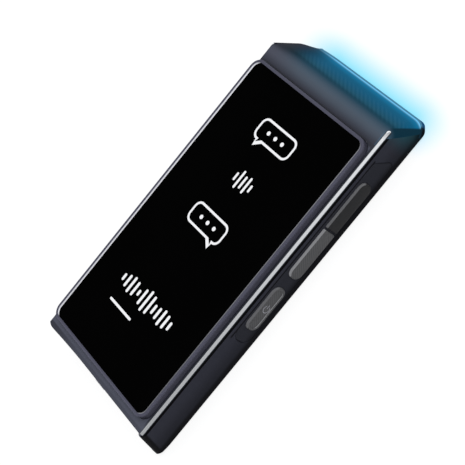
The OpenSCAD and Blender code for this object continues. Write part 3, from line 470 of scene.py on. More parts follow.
def lens_finish():
    """Smoked plastic: slate on its flat, dark on its slope, and lit from its lower end. The place down the
    slope runs from 0 at the crease to 1 at the back. Faint ribs stand behind it."""
    finish = Finish("lens")
    x, y, z = finish.xyz()
    face_z = FACE_Z / MM
    rise = face_z - LIP_Z / MM
    slope_length = rise / cos(HEAD_LEAN)
    crease_y = HEAD_Y / MM - rise * tan(HEAD_LEAN)
    down = ((y - crease_y) * sin(HEAD_LEAN) + (face_z - z) * cos(HEAD_LEAN)) / slope_length
    wall = x.step(33.6, TRIM_X) + (-1 * x).step(TRIM_X, 34.9)
    slant = x + down * (1.22 * slope_length)
    ribs = (slant * (tau * MM / sizes().rib_pitch)).sine() * 0.5 + 0.5
    ribs = ribs * down.step(0.1, 0.3) * (1 - down.step(0.5, 0.65)) * x.step(-30, -20) * 0.07
    high, low, light = colours().glow_high, colours().glow_low, colours().light
    stops = [
        (-0.08, DARK),
        (0.1, shaded(high, 0.6)),
        (0.2, shaded(high, 0.7)),
        (0.3, shaded(high, 1.1)),
        (0.5, shaded(low, 0.66)),
        (0.7, shaded(low, 0.83)),
        (0.86, shaded(low, 1.3)),
        (0.89, shaded(light, 0.5)),
        (0.915, light),
        (0.935, light),
        (0.96, shaded(light, 0.3)),
    ]
    stops = [(0.9 * stop + 0.1, shade) for stop, shade in stops]
    glow = finish.add("ShaderNodeValToRGB", {"stops": stops}, {0: down * 0.9 + 0.1})
    glow = finish.mix(ribs, glow, shaded(light, 0.5))
    glow = finish.mix(wall, glow, shaded(high, 0.4))
    glow = finish.mix(x.step(FACE_LEFT, -13), DARK, glow)
    # painted shade: the flat's slate is darker towards the head's left end
    shaded_slate, smoke = colours().slate_left, colours().smoke
    slate = finish.mix(x.step(FACE_LEFT, -12), shaded_slate, colours().slate)
    # painted shade: darker next to the rim's groove
    body = finish.mix(y.step(58.4, 63.5), shaded(shaded_slate, 0.56), slate)
    body = finish.mix(down.step(-0.13, 0.2), body, smoke)
    # painted shade along the crease and slope at the left end, and darker still at its far left
    body = finish.mix(down.step(-0.03, 0.12) * (1 - x.step(FACE_LEFT, -23)), body, shaded(shaded_slate, 0.36))
    body = finish.mix(down.step(0.0, 0.08) * (-1 * x).step(33.0, 34.0), body, shaded(shaded_slate, 0.1))
    return finish.plastic(
        body, shaded(smoke, 1.5), 0.34, 0.004, patch=10, relief=0.003, grain=0.3, glow=glow
    )


def light_finish():
    """Frosted light guide, lit along its length and dark at both ends."""
    finish = Finish("light")
    x = finish.xyz()[0]
    light = colours().light
    frost = finish.noise(0.6)
    ends = x.step(FACE_LEFT, -26) * (1 - x.step(33.0, 34.0))
    lit = finish.mix(ends, shaded(light, 0.015), shaded(light, 0.3))
    glow = finish.mix(0.2 * frost * ends, lit, light)
    return finish.surface(shaded(light, 0.02), 0.4 + 0.1 * frost, 0.02, glow=glow)


def glass_finish():
    """Black cover glass with a dark antireflection coat that is a trace warmer in slow patches."""
    finish = Finish("glass")
    drift = finish.noise(30)
    tone = finish.mix(drift, colours().glass, shaded(colours().glass, 0.5))
    return finish.surface(tone, 0.1 + 0.05 * drift, gloss=0.001)


def hatched_finish():
    """Key plastic with fine diagonal grip lines in its face."""
    finish = Finish("lower_button")
    _, y, z = finish.xyz()
    hatch = ((0.8 * y - 0.6 * z) * (tau * MM / sizes().hatch_pitch)).sine() * 0.5 + 0.5
    shade = colours().lower_key
    tone = finish.mix(hatch, shaded(shade, 0.86), shaded(shade, 1.12))
    relief = finish.bump(finish.noise(0.25), 0.004, under=finish.bump(hatch, 0.03))
    return finish.surface(tone, 0.46 + 0.06 * hatch, 0.03, relief=relief)


def lit_finish(name, shade):
    """Evenly lit marks with a trace of grain."""
    finish = Finish(name)
    glow = finish.mix(finish.noise(2), shaded(shade, 0.97), shade)
    return finish.surface(DARK, 0.5, gloss=0.0, glow=glow)


def board_finish():
    """Solder mask over copper lines, which run along and across the board."""
    finish = Finish("board")
    x, y, _ = finish.xyz()
    along = (x * 5.2).sine().step(0.82, 0.9)
    across = (y * 4.1).sine().step(0.86, 0.94)
    patches = finish.noise(5).step(0.46, 0.5)
    lines = along * patches + across * (1 - patches)
    tone = finish.mix(lines, tint(12, 72, 42), tint(36, 118, 66))
    return finish.surface(tone, 0.38 + 0.1 * patches, relief=finish.bump(lines, 0.03))


def steel_finish():
    """Pressed steel with fine lines and smudges."""
    finish = Finish("steel")
    tone = finish.mix(finish.noise(6), tint(176, 177, 180), tint(200, 201, 204))
    return finish.surface(tone, 0.26 + 0.14 * finish.noise(0.3, stretch=(1, 0.1, 1)), metal=1.0)


def pouch_finish():
    """Foil pouch of the battery, with soft wrinkles."""
    finish = Finish("pouch")
    wrinkles = finish.noise(7, detail=4)
    tone = finish.mix(wrinkles, tint(150, 152, 157), tint(186, 188, 192))
    return finish.surface(tone, 0.3 + 0.15 * wrinkles, metal=0.8, relief=finish.bump(wrinkles, 0.15))


def flex_finish():
    """Amber film over copper strips."""
    finish = Finish("flex")
    strips = (finish.xyz()[0] * 9).sine().step(-0.1, 0.3)
    return finish.surface(finish.mix(strips, tint(150, 84, 24), tint(196, 122, 40)), 0.32 + 0.1 * strips)


def card_finish():
    """White card with gold contacts in its middle."""
    finish = Finish("card")
    x, y, _ = finish.xyz()
    low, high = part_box("sim_card")
    middle = (low + high) / (2 * MM)
    pads = (1 - abs(x - middle.x).step(3.6, 3.8)) * (1 - abs(y - middle.y).step(3.1, 3.3))
    gold = pads * ((x - middle.x) * 2.6).sine().step(-0.96, -0.9)
    tone = finish.mix(gold, tint(232, 231, 226), tint(206, 164, 82))
    return finish.surface(tone, 0.45 - 0.15 * pads, metal=gold)


def mesh_finish():
    """Dark woven mesh behind the grille: two crossing waves make the holes."""
    finish = Finish("tape")
    x, y, _ = finish.xyz()
    weave = (x * 12).sine() * (y * 12).sine()
    tone = finish.mix(weave.step(-0.2, 0.4), tint(10, 10, 12), tint(44, 44, 48))
    return finish.surface(tone, 0.6 - 0.1 * weave.step(0, 1), 0.3, relief=finish.bump(weave, 0.05))


def make_finishes():
    """Every finish by the name of its material slot."""
    shades = colours()
    return {
        "cover": cover_finish(),
        "slate": chin_finish(),
        "black": moulded("black", shades.edge, roughness=0.6, gloss=0.02),
        "lens": lens_finish(),
        "light": light_finish(),
        "chrome": trim_finish(),
        "bezel": rim_finish(),
        "glass": glass_finish(),
        "panel": panel_finish(),
        "button": moulded("button", shades.upper_key, roughness=0.45, gloss=0.03),
        "lower_button": hatched_finish(),
        "board": board_finish(),
        "part_black": moulded("part_black", tint(20, 20, 22), roughness=0.6),
        "steel": steel_finish(),
        "pouch": pouch_finish(),
        "tape": mesh_finish(),
        "flex": flex_finish(),
        "card": card_finish(),
        "window": moulded("window", tint(6, 8, 13), roughness=0.12, gloss=0.5, relief=0.0),
        "flash": moulded("flash", tint(238, 232, 206), roughness=0.3, gloss=0.5),
        "chip": lit_finish("chip", tint(225, 240, 255)),
        "bevel": bevel_finish(),
        "marks": lit_finish("marks", shades.marks),
        "symbol": moulded("symbol", shades.symbol, roughness=0.5),
        # painted highlights of the keys' upward faces
        "upper_brow_highlight": moulded("upper_brow_highlight", shades.upper_brow_highlight, roughness=0.4),
        "lower_brow_highlight": moulded("lower_brow_highlight", shades.lower_brow_highlight, roughness=0.4),
    }


KEYS = ("upper_talk_button", "lower_talk_button", "power_button")
FINISHES = {}
SLOTS = {part["node"]: part["material_slot"] for part in frame["record"]["subparts"]}
BODIES = {
    node: body for body, nodes in frame["record"]["behaviour"]["bodies"].items() for node in nodes
}


# ---- Surfaces ----


def corner_loop(low, high, radii, steps=8):
    """Outline of a rectangle, anticlockwise from its low right corner. The radii are one for all, or for the
    low right, high right, high left and low left corners, whose points are centre + r (cos a, sin a)."""
    r = np.broadcast_to(np.asarray(radii, float), 4)
    x = np.array([high[0] - r[0], high[0] - r[1], low[0] + r[2], low[0] + r[3]])
    y = np.array([low[1] + r[0], high[1] - r[1], high[1] - r[2], low[1] + r[3]])
    angles = np.arange(-1, 3)[:, None] * pi / 2 + np.linspace(0, pi / 2, steps + 1)
    around = np.stack([np.cos(angles), np.sin(angles)], axis=-1)
    return (np.stack([x, y], axis=-1)[:, None] + r[:, None, None] * around).reshape(-1, 2)


def circle_loop(radius, steps=64):
    """A circle about the origin: r (cos a, sin a)."""
    angles = np.linspace(0, tau, steps, endpoint=False)
    return radius * np.stack([np.cos(angles), np.sin(angles)], axis=-1)


def stacked(loops, heights):
    """Rings of points: loop i at height i."""
    loops = np.asarray(loops)
    levels = np.broadcast_to(np.asarray(heights, float)[:, None, None], (*loops.shape[:2], 1))
    return np.concatenate([loops, levels], axis=-1)


def skin(rings, closed=False):
    """Points and faces of the surface through rings: a quad joins points j and j + 1 of one ring to those
    of the next. The two ends are capped, or the last ring joins the first."""
    levels, count = rings.shape[:2]
    here = np.arange(count)
    after = np.roll(here, -1)
    starts = np.arange(levels if closed else levels - 1)
    low = starts[:, None] * count
    high = (starts[:, None] + 1) % levels * count
    faces = np.stack([low + here, low + after, high + after, high + here], axis=-1).reshape(-1, 4).tolist()
    if not closed:
        faces.append(here[::-1].tolist())
        faces.append((here + (levels - 1) * count).tolist())
    return rings.reshape(-1, 3), faces


def joined(parts):
    """Several surfaces as one."""
    points = []
    faces = []
    for part_points, part_faces in parts:
        start = sum(len(p) for p in points)
        points.append(part_points)
        faces += [[start + corner for corner in face] for face in part_faces]
    return np.concatenate(points), faces


def finished(name, mesh, body, finishes, replaced=(), crease=40):
    """Makes a piece of a mesh: smooth but for its creases, riding on a body, in place of CAD nodes."""
    for finish in finishes:
        mesh.materials.append(FINISHES[finish])
    mesh.shade_smooth()
    mesh.set_sharp_from_angle(angle=radians(crease))
    piece = bpy.data.objects.new(name, mesh)
    bpy.context.scene.collection.objects.link(piece)
    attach(piece, body)
    if replaced:
        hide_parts(*replaced)
    return piece


def built(name, surface, body, finishes, replaced=(), face_finishes=None, crease=40):
    """A piece from points and faces, with its doubles merged."""
    points, faces = surface
    mesh = bpy.data.meshes.new(name)
    mesh.from_pydata(points.tolist(), [], faces)
    if face_finishes is not None:
        mesh.polygons.foreach_set("material_index", face_finishes)
    work = bmesh.new()
    work.from_mesh(mesh)
    bmesh.ops.remove_doubles(work, verts=work.verts, dist=0.0001 * MM)
    work.to_mesh(mesh)
    work.free()
    return finished(name, mesh, body, finishes, replaced, crease)


def fitted(name, surface, node, extra=(), face_finishes=None, crease=40):
    """A built piece in place of a CAD node, on its body and with its finish before any extra ones."""
    slot = SLOTS[node]
    return built(name, surface, BODIES[node], [slot, *extra], [node], face_finishes, crease)


def dressed(node, soften=0.0, crease=30, change=None, cuts=()):
    """A smooth copy of a CAD node: merged, its flat faces joined, and its cut edges rounded. It is cut
    along planes, each a region and an axis with places, before a change bends it there."""
    mesh = frame["nodes"][node].data.copy()
    mesh.name = node + "_skin"
    mesh.materials.clear()
    work = bmesh.new()
    work.from_mesh(mesh)
    bmesh.ops.remove_doubles(work, verts=work.verts, dist=0.0005 * MM)
    if soften:
        bmesh.ops.dissolve_limit(
            work, angle_limit=radians(0.5), verts=work.verts, edges=work.edges, use_dissolve_boundaries=False
        )
    for holds, axis, places in cuts:
        for place in places:
            faces = [face for face in work.faces if any(holds(vertex.co) for vertex in face.verts)]
            edges = dict.fromkeys(edge for face in faces for edge in face.edges)
            corners = dict.fromkeys(vertex for face in faces for vertex in face.verts)
            bmesh.ops.bisect_plane(
                work,
                geom=[*corners, *edges, *faces],
                dist=0.0005 * MM,
                plane_co=Vector(axis) * (place * MM),
                plane_no=axis,
            )
    work.to_mesh(mesh)
    work.free()
    if change:
        points = np.empty(len(mesh.vertices) * 3, np.float32)
        mesh.vertices.foreach_get("co", points)
        mesh.vertices.foreach_set("co", change(points.reshape(-1, 3)).ravel())
        mesh.update()
    slot = SLOTS[node]
    piece = finished(node + "_skin", mesh, BODIES[node], [slot], [node], crease)
    if soften:
        bevel = piece.modifiers.new("soft_edges", "BEVEL")
        bevel.width = soften
        bevel.segments = 2
        bevel.limit_method = "ANGLE"
        bevel.angle_limit = radians(crease)
    flatten = piece.modifiers.new("flat_faces", "WEIGHTED_NORMAL")
    flatten.weight = 100
    flatten.keep_sharp = True
    return piece


def soft_edge(radius, steps=5):
    """A quarter round at the top of a wall: insets r (1 - cos a) and drops r (1 - sin a)."""
    angles = np.linspace(0, pi / 2, steps)
    return radius * (1 - np.cos(angles)), radius * (1 - np.sin(angles))


# ---- Pieces ----


def in_head_corner(point):
    """Whether a point is in the head's left corner."""
    return point.x < -15 * MM and point.y > HEAD_Y - 4 * MM


def at_foot(point):
    """Whether a point is at the foot."""
    return point.y < -70 * MM


def at_tip(point):
    """Whether a point is at the right trim's upper end."""
    return point.x > 0 and point.y > 50 * MM


HEAD_CUTS = (
    (in_head_corner, (0, 1, 0), HEAD_Y / MM - np.linspace(0.35, CORNER_DEPTH, 11)),
    (in_head_corner, (1, 0, 0), np.arange(-33.0, -15.0, 1.5)),
)
TIP_CUTS = ((at_tip, (0, 1, 0), TIP_Y / MM - np.arange(0.4, TIP_LENGTH, 0.5)),)
FOOT_LEFT = (-35.6, -35, -34.4, -33.8, -33.2, -32.4, -30, -27, -24, -20, -16, -12)
FOOT_PLACES = (*FOOT_LEFT, 33.8, TRIM_X, TRIM_X + 0.3, 35)
FOOT_CUTS = ((at_foot, (1, 0, 0), FOOT_PLACES),)


def open_panel(points):
    """Raises the upper half of the panel's three openings, so that the keys' bands fit in them."""
    reach = 0.3 * MM
    y, z = points.T[1:]
    for node in KEYS:
        low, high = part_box(node)
        middle = (low.z + high.z) / 2
        inside = (y > low.y - reach) & (y < high.y + reach) & (z > middle + 0.1 * MM) & (z < high.z + reach)
        points[inside, 2] += sizes().key_brow
    return points


def way(values, low, high):
    """0 below low, 1 above high, and straight between."""
    return np.clip((values - low) / (high - low), 0, 1)


def ease(values, low, high):
    """0 below low, 1 above high, and 3 t^2 - 2 t^3 between."""
    t = way(values, low, high)
    return (3 - 2 * t) * t**2


def round_left_corner(points):
    """Draws the head's lower left corner in. x grows by the shift, times the eased way to the head's end,
    times the eased way to the side. Then y falls by the drop, times the square of the way to the corner."""
    s = sizes()
    x, y, _ = points.T / MM
    end = ease(y, HEAD_Y / MM - CORNER_DEPTH, HEAD_Y / MM)
    points[:, 0] += s.corner_shift * end * ease(-x, 20, 31)
    points[:, 1] -= s.corner_drop * end * way(-points[:, 0] / MM, 17, 26.5) ** 2
    return points


def draw_foot_back(points, reach=TRIM_X):
    """Leans the foot a little further back, out to a reach in x: y grows by the pull, times the height's
    share, and by the rounding, times the square of the way to the left corner. Both fade out 1.2 mm in from
    the foot's slanted end. Where the reach ends short of the side, y falls by the fill at the right corner,
    which fades out 3 mm in."""
    s = sizes()
    x, y, z = points.T / MM
    side = SIDE_X / MM
    depth = foot_depth(y, z)
    within = 1 - ease(np.abs(x), reach, reach + 0.3)
    pull = s.chin_pull * way(z, 2.7, FACE_Z / MM) * ease(x, -38, -12) * within
    points[:, 1] += (1 - way(depth, 0, 1.2)) * (pull + s.chin_round * way(-x, 32.3, side) ** 2)
    if reach < side:
        points[:, 1] -= s.foot_fill * ease(x, 33.8, 35) * (1 - way(depth, 0, 3))
    points[:, 1] = np.maximum(points[:, 1], FOOT_Y)
    return points


def shape_cover(points):
    """Rear cover: the two moved ends, and the lower side edges filled out. The fill is the way to the side
    times the way down to the back: x moves outwards by twice the fill, and z down by 1.5 times it."""
    x, _, z = points.T / MM
    fill = sizes().keel_fill * way(np.abs(x), 34.1, SIDE_X / MM) * (1 - way(z, 0, 1.9))
    points[:, 0] += np.sign(x) * 2 * fill
    points[:, 2] = np.maximum(points[:, 2] - 1.5 * fill, 0)
    return draw_foot_back(round_left_corner(points))


def shape_trim(points):
    """A trim: drawn back at the foot. The right one's upper tip turns outwards over the way t along it: x
    grows by the bend times t^2, less t (1 - t) on the inner edge, and y by 0.7 times the bend times t."""
    x, y, _ = points.T / MM
    along = way(y, TIP_Y / MM - TIP_LENGTH, TIP_Y / MM) * (x > 0)
    inner = x < 35.05
    points[:, 0] += sizes().tip_bend * (along**2 - inner * along * (1 - along))
    points[:, 1] += 0.7 * sizes().tip_bend * along
    return draw_foot_back(points, reach=40)


def make_rim():
    """The screen's rim: nested outlines up the outer wall, over the rounded edge, down the bright bevel
    and the glass's seat, and back along the underside."""
    s = sizes()
    low, high = np.array(RIM_LOW.xy), np.array(RIM_HIGH.xy)
    insets, drops = soft_edge(s.rim_edge)
    loops = [corner_loop(low, high, s.rim_radius)]
    heights = [RIM_LOW.z]
    for inset, drop in zip(insets, drops):
        loops.append(corner_loop(low + inset, high - inset, s.rim_radius - inset))
        heights.append(RIM_HIGH.z - drop)
    gap = s.glass_gap
    seat_low, seat_high = np.array(GLASS_LOW.xy) - gap, np.array(GLASS_HIGH.xy) + gap
    widen = np.array([s.rim_bevel_width - gap, 0.0])
    seat_radius = s.glass_radius + gap
    loops.append(corner_loop(seat_low - widen, seat_high + widen, seat_radius))
    heights.append(RIM_HIGH.z)
    loops += [corner_loop(seat_low, seat_high, seat_radius)] * 2
    heights += [RIM_HIGH.z - s.rim_bevel_depth, LEDGE_Z]
    hole_low, hole_high = np.array(DISPLAY_LOW.xy) - gap, np.array(DISPLAY_HIGH.xy) + gap
    loops += [corner_loop(hole_low, hole_high, MM)] * 2
    heights += [LEDGE_Z, RIM_LOW.z]
    rings = stacked(loops, heights)
    bevel_level = len(insets) + 1
    level = np.repeat(np.arange(len(heights)), rings.shape[1])
    bright = (level == bevel_level).astype(np.int32)
    fitted("screen_rim", skin(rings, closed=True), "screen_bezel", ["bevel"], bright)


def make_glass():
    """The cover glass: one outline drawn up, with a small quarter round below its face."""
    s = sizes()
    low, high = np.array(GLASS_LOW.xy), np.array(GLASS_HIGH.xy)
    insets, drops = soft_edge(s.glass_edge)
    loops = [corner_loop(low, high, s.glass_radius)]
    loops += [corner_loop(low + inset, high - inset, s.glass_radius - inset) for inset in insets]
    top = GLASS_HIGH.z - s.mark_height
    rings = stacked(loops, [GLASS_LOW.z, *(top - drops)])
    fitted("screen_glass", skin(rings), "cover_glass")


def plate(loop):
    """A thin lit mark on the glass, from one outline."""
    top = GLASS_HIGH.z
    return skin(stacked([loop, loop], [top - sizes().mark_height, top]))


def bubble_loop(middle, half, radius, tail_x, tail, inset):
    """A speech bubble's outline: a rounded rectangle with a pointed tail in its lower edge."""
    reach = np.array(half) - inset
    loop = corner_loop(middle - reach, middle + reach, radius - inset)
    lean = np.sign(tail_x)
    base = middle[1] - reach[1]
    root_x = middle[0] + tail_x * half[0]
    width = 1.9 * MM - 1.1 * inset
    points = np.array([
        [root_x - width, base],
        [root_x + lean * (1.4 * MM), base - tail + 0.9 * inset],
        [root_x + width, base],
    ])
    return np.concatenate([loop, points])


def bubble(middle, tail_x):
    """A speech bubble drawn as a line, with three dots inside."""
    s = sizes()
    middle = np.array(middle) * MM
    half = np.array([s.bubble_width, s.bubble_height]) / 2
    corner, tail = 3 * MM, 2.6 * MM
    strokes = (0.0, s.bubble_stroke)
    outer, inner = (bubble_loop(middle, half, corner, tail_x, tail, inset) for inset in strokes)
    top = GLASS_HIGH.z
    base = top - s.mark_height
    line = skin(stacked([outer, outer, inner, inner], [base, top, top, base]), closed=True)
    dot, pitch = circle_loop(0.85 * MM, 32), 4.2 * MM
    return joined([line, *(plate(middle + [step * pitch, 0.0] + dot) for step in (-1, 0, 1))])


def sound_bars(middle, heights, scale=1.0):
    """A row of upright bars with round ends, about one line."""
    s = sizes()
    middle = np.array(middle) * MM
    width = s.bar_width * scale
    places = (np.arange(len(heights)) - (len(heights) - 1) / 2) * s.bar_pitch * scale
    bars = []
    for place, height in zip(places, heights):
        half = np.array([width, max(height * s.bar_height * scale, width)]) / 2
        centre = middle + [place, 0.0]
        bars.append(plate(corner_loop(centre - half, centre + half, half[0])))
    return joined(bars)


def make_marks():
    """What the screen shows: two speech bubbles, sound bars between them and a long row of bars below, whose
    heights are the size of a sine wave under a bell."""
    waves = 0.28 + 0.72 * np.abs(np.sin(np.linspace(0.25, 3 * pi - 0.5, 13))) * np.hanning(15)[1:-1] ** 0.4
    parts = {
        "upper_bubble": bubble((-0.5, 38.4), -0.55),
        "voice_bars": sound_bars((0.5, 19.0), (0.45, 1.0, 0.7, 0.9, 0.4), 0.85),
        "lower_bubble": bubble((-0.5, -0.4), 0.55),
        "long_bars": sound_bars((0.2, -36.6), waves),
        "progress_line": plate(corner_loop((-15 * MM, -46.3 * MM), (0.0, -45.3 * MM), 0.5 * MM)),
    }
    for name, surface in parts.items():
        built(name, surface, "root", ["marks"])


def key_rings(node, round_low, round_high):
    """A side key as nested outlines: its flange, then its cap drawn out to the face. Near the face the
    outline's upper side falls back by the brow, and a dished key goes down again inside its rim."""
    s = sizes()
    box_low, box_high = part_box(node)
    lips = [s.flange_lip if is_round else s.flat_lip for is_round in (round_low, round_high)]
    flange_low = np.array([box_low.y, box_low.z])
    flange_high = np.array([box_high.y, box_high.z])
    grow = 0.12 * MM
    low = flange_low + [lips[0] - grow, s.flange_lip - grow]
    high = flange_high + [grow - lips[1], grow - s.flange_lip]
    flange_round = (flange_high[1] - flange_low[1]) / 2
    flange_ends = [flange_round if is_round else 2 * s.key_corner for is_round in (round_low, round_high)]
    brow = np.array([0.0, s.key_brow])
    half = (high[1] - low[1]) / 2
    ends = [half if is_round else s.key_corner for is_round in (round_low, round_high)]
    radii = np.array([ends[1], ends[1], ends[0], ends[0]])
    flange = corner_loop(flange_low, flange_high, np.array(flange_ends)[[1, 1, 0, 0]])
    base = box_low.x + s.flange_thickness
    face = box_high.x - (s.mark_height if node == "power_button" else 0.0)
    loops = [flange, flange, corner_loop(low, high + brow, radii)]
    depths = [box_low.x, base, base]
    insets, drops = soft_edge(s.key_edge)
    shares = np.sin(np.linspace(0, pi / 2, len(insets)))
    for share, inset, drop in zip(shares, insets, drops):
        top = high + brow - [inset, inset + share * (s.key_brow - s.key_edge)]
        loops.append(corner_loop(low + inset, top, radii - inset))
        depths.append(face - drop - (1 - share) * (s.key_drop - s.key_edge))
    if node == "power_button":
        for inset, depth in ((s.dish_rim, 0.0), (s.dish_rim + 0.5 * s.dish_depth, s.dish_depth)):
            loops.append(corner_loop(low + inset, high - [inset, 0.5 * inset], radii - inset))
            depths.append(face - depth)
    return np.roll(stacked(loops, depths), 1, axis=-1)


def make_side_keys():
    """The two talk buttons and the power button, each with its flange behind the panel. Faces that look up
    towards the screen's side take a painted highlight, and the dish's lower wall a lighter painted highlight
    still."""
    shapes = {
        "upper_talk_button": (False, True, "upper_brow_highlight"),
        "lower_talk_button": (True, False, "lower_brow_highlight"),
        "power_button": (True, True, "upper_brow_highlight"),
    }
    for node, (round_low, round_high, brow) in shapes.items():
        points, faces = skin(key_rings(node, round_low, round_high))
        quads = points[np.array(faces[:-2])]
        normals = np.cross(quads[:, 2] - quads[:, 0], quads[:, 3] - quads[:, 1])
        normals /= np.linalg.norm(normals, axis=1, keepdims=True).clip(1e-12)
        # painted highlight: outer faces that look up towards the screen's side
        lit = (normals[:, 2] > 0.3) & (quads[:, :, 0].mean(axis=1) > SIDE_X - 0.3 * MM)
        dish_wall_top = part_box(node)[0].z + 2.2 * MM
        dish = lit & (quads[:, :, 2].mean(axis=1) < dish_wall_top)
        bands = np.append(lit.astype(np.int32) + dish, [0, 0])
        fitted(node + "_key", (points, faces), node, [brow, "lower_brow_highlight"], bands, crease=25)


def make_power_symbol():
    """The power symbol: an open arc and a bar, as thin plates on the power button's face."""
    s = sizes()
    low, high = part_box("power_button")
    middle = np.array([(low.y + high.y) / 2, (low.z + high.z) / 2])
    radius, half = s.symbol_radius, s.symbol_stroke / 2
    gap = radians(38)
    angles = np.linspace(gap, tau - gap, 41)
    ray = np.stack([np.cos(angles), np.sin(angles)], axis=-1)
    arc = np.concatenate([(radius + half) * ray, ((radius - half) * ray)[::-1]])
    bar = corner_loop((0.15 * radius, -half), (1.25 * radius, half), half * 0.9)
    sink = s.mark_height
    base = high.x - sink - s.dish_depth
    parts = []
    for loop in (arc, bar):
        rings = stacked([middle + loop] * 2, [base - sink, base + sink])
        parts.append(skin(np.roll(rings, 1, axis=-1)))
    built("power_symbol", joined(parts), "power", ["symbol"])


def turned(profile, middle):
    """A profile of (radius, height) pairs turned about an upright axis, from the underside's middle out,
    up, and back to the middle."""
    loops = [middle + circle_loop(radius) for radius, height in profile]
    return skin(stacked(loops, [height for radius, height in profile]))


def disc(node):
    """The middle, radius, underside and top of a flat round node."""
    low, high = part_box(node)
    return np.array((low.xy + high.xy) / 2), (high.x - low.x) / 2, low.z, high.z


def make_camera():
    """Camera window with a stepped well over its lens, and the flash with its rings."""
    middle, radius, low, high = disc("camera_window")
    insets, drops = soft_edge(sizes().window_edge)
    well = [(0.02, 0.22), (0.14, 0.2), (0.24, 0.3), (0.42, 0.3), (0.44, 0.16), (0.56, 0.16), (0.58, 0.0)]
    profile = [(share * radius, low + depth * MM) for share, depth in well]
    profile += [(radius - inset, low + drop) for inset, drop in zip(insets[::-1], drops[::-1])]
    profile += [(radius, high), (0.02 * radius, high)]
    fitted("camera_window_glass", turned(profile, middle), "camera_window")

    middle, radius, low, high = disc("flash_lens")
    shares = np.linspace(0.06, 0.9, 15)
    ridges = 0.06 * MM * (np.arange(15) % 2)
    profile = [(share * radius, low + ridge) for share, ridge in zip(shares, ridges)]
    profile += [(0.97 * radius, low), (radius, low + 0.03 * radius), (radius, high), (0.06 * radius, high)]
    fitted("flash_ring_lens", turned(profile, middle), "flash_lens")


# ---- Studio ----


def floor_finish():
    """Pale floor that the camera and reflections see nearly white. A painted pool of the head's light spreads
    on it from the stretch below the head's end where x is -18 to 26 mm, and the floor is clear from below."""
    finish = Finish("studio_floor")
    x, y, _ = finish.xyz()
    head = HEAD_Y / MM
    beside = (x - 26).at_least(0) * 0.6 + (-18 - x).at_least(0) * 0.5
    beyond = (y - head).at_least(0) + (head - 1.6 - y).at_least(0) * 0.9
    distance = (beside * beside + beyond * beyond).root()
    # painted light: the head's glow painted on the floor as a pool of colour
    halo = 1 - distance.step(-3, sizes().halo_reach / MM)
    shade = finish.mix(halo, colours().floor, colours().halo)
    shade = finish.mix(0.03 * finish.noise(200), shade, (0.8, 0.8, 0.8))
    painted = finish.add("ShaderNodeBsdfDiffuse", inputs={"Color": shade})
    lit = finish.add("ShaderNodeEmission", inputs={"Color": finish.mix(halo, WHITE, colours().halo)})
    rays = finish.add("ShaderNodeLightPath", output="Is Camera Ray")
    outputs = rays.socket.node.outputs
    ray = rays + Signal(finish, outputs["Is Glossy Ray"]) + Signal(finish, outputs["Is Transmission Ray"])
    both = finish.add("ShaderNodeMixShader", inputs={0: 0.85 * ray, 1: painted, 2: lit})
    clear = finish.add("ShaderNodeBsdfTransparent")
    below = finish.add("ShaderNodeNewGeometry", output="Backfacing")
    seen = finish.add("ShaderNodeMixShader", inputs={0: below, 1: both, 2: clear})
    finish.add("ShaderNodeOutputMaterial", inputs={"Surface": seen})
    return finish.owner


def make_floor():
    """A flat floor just under the back."""
    half = sizes().floor_width / 2
    mesh = bpy.data.meshes.new("studio_floor")
    loop = corner_loop((-half, -half), (half, half), half / 4, 6)
    points = np.concatenate([loop, np.full((len(loop), 1), CAD_LOW.z - 0.02 * MM)], axis=-1)
    mesh.from_pydata(points.tolist(), [], [list(range(len(loop)))])
    mesh.materials.append(floor_finish())
    floor = bpy.data.objects.new("studio_floor", mesh)
    bpy.context.scene.collection.objects.link(floor)


def make_world():
    """Studio light from all round, stronger from the head's side, which camera rays see as white."""
    studio = Finish("studio", "worlds")
    place = studio.add("ShaderNodeTexCoord", output="Generated")
    across = studio.add("ShaderNodeSeparateXYZ", inputs={0: place}, output="Y")
    reach = {"Value": across, "From Min": -0.3, "From Max": 0.12, "To Min": 0.37, "To Max": 0.95}
    level = studio.add("ShaderNodeMapRange", {"interpolation_type": "SMOOTHSTEP"}, reach)
    light = studio.add("ShaderNodeBackground", inputs={"Color": (0.95, 0.97, 1.0), "Strength": level})
    seen = studio.add("ShaderNodeBackground", inputs={"Color": WHITE})
    ray = studio.add("ShaderNodeLightPath", output="Is Camera Ray")
    both = studio.add("ShaderNodeMixShader", inputs={0: ray, 1: light, 2: seen})
    studio.add("ShaderNodeOutputWorld", inputs={"Surface": both})
    bpy.context.scene.world = studio.owner


def make_lamp(name, spot, target, width, power):
    """A soft square lamp at one place, facing another."""
    data = bpy.data.lights.new(name, "AREA")
    data.shape = "SQUARE"
    data.size = width
    data.energy = power
    lamp = bpy.data.objects.new(name, data)
    lamp.location = spot
    lamp.rotation_mode = "QUATERNION"
    lamp.rotation_quaternion = (Vector(target) - Vector(spot)).to_track_quat("-Z", "Y")
    bpy.context.scene.collection.objects.link(lamp)


def make_camera_view():
    """The camera: above the right side, looking down on the device, and rolled about its line of sight."""
    spot = Vector((324.0, 51.03, 375.07)) * MM
    sight = Vector((-0.65597, -0.10013, -0.74812))
    roll = radians(-57.4575)
    data = bpy.data.cameras.new("camera")
    data.sensor_width = 36.0
    data.lens = 103.86
    data.shift_x = -0.001075
    data.shift_y = 0.001075
    camera = bpy.data.objects.new("camera", data)
    camera.location = spot
    camera.rotation_mode = "QUATERNION"
    camera.rotation_quaternion = sight.to_track_quat("-Z", "Y") @ Quaternion((0.0, 0.0, 1.0), roll)
    bpy.context.scene.collection.objects.link(camera)
    bpy.context.scene.camera = camera


# ---- Add-on ----


class TRANSLATOR_OT_finishes(bpy.types.Operator):
    """Makes every material of the device"""

    bl_idname = "translator.finishes"
    bl_label = "Finishes"

    def execute(self, context):
        FINISHES.update(make_finishes())
        return {"FINISHED"}


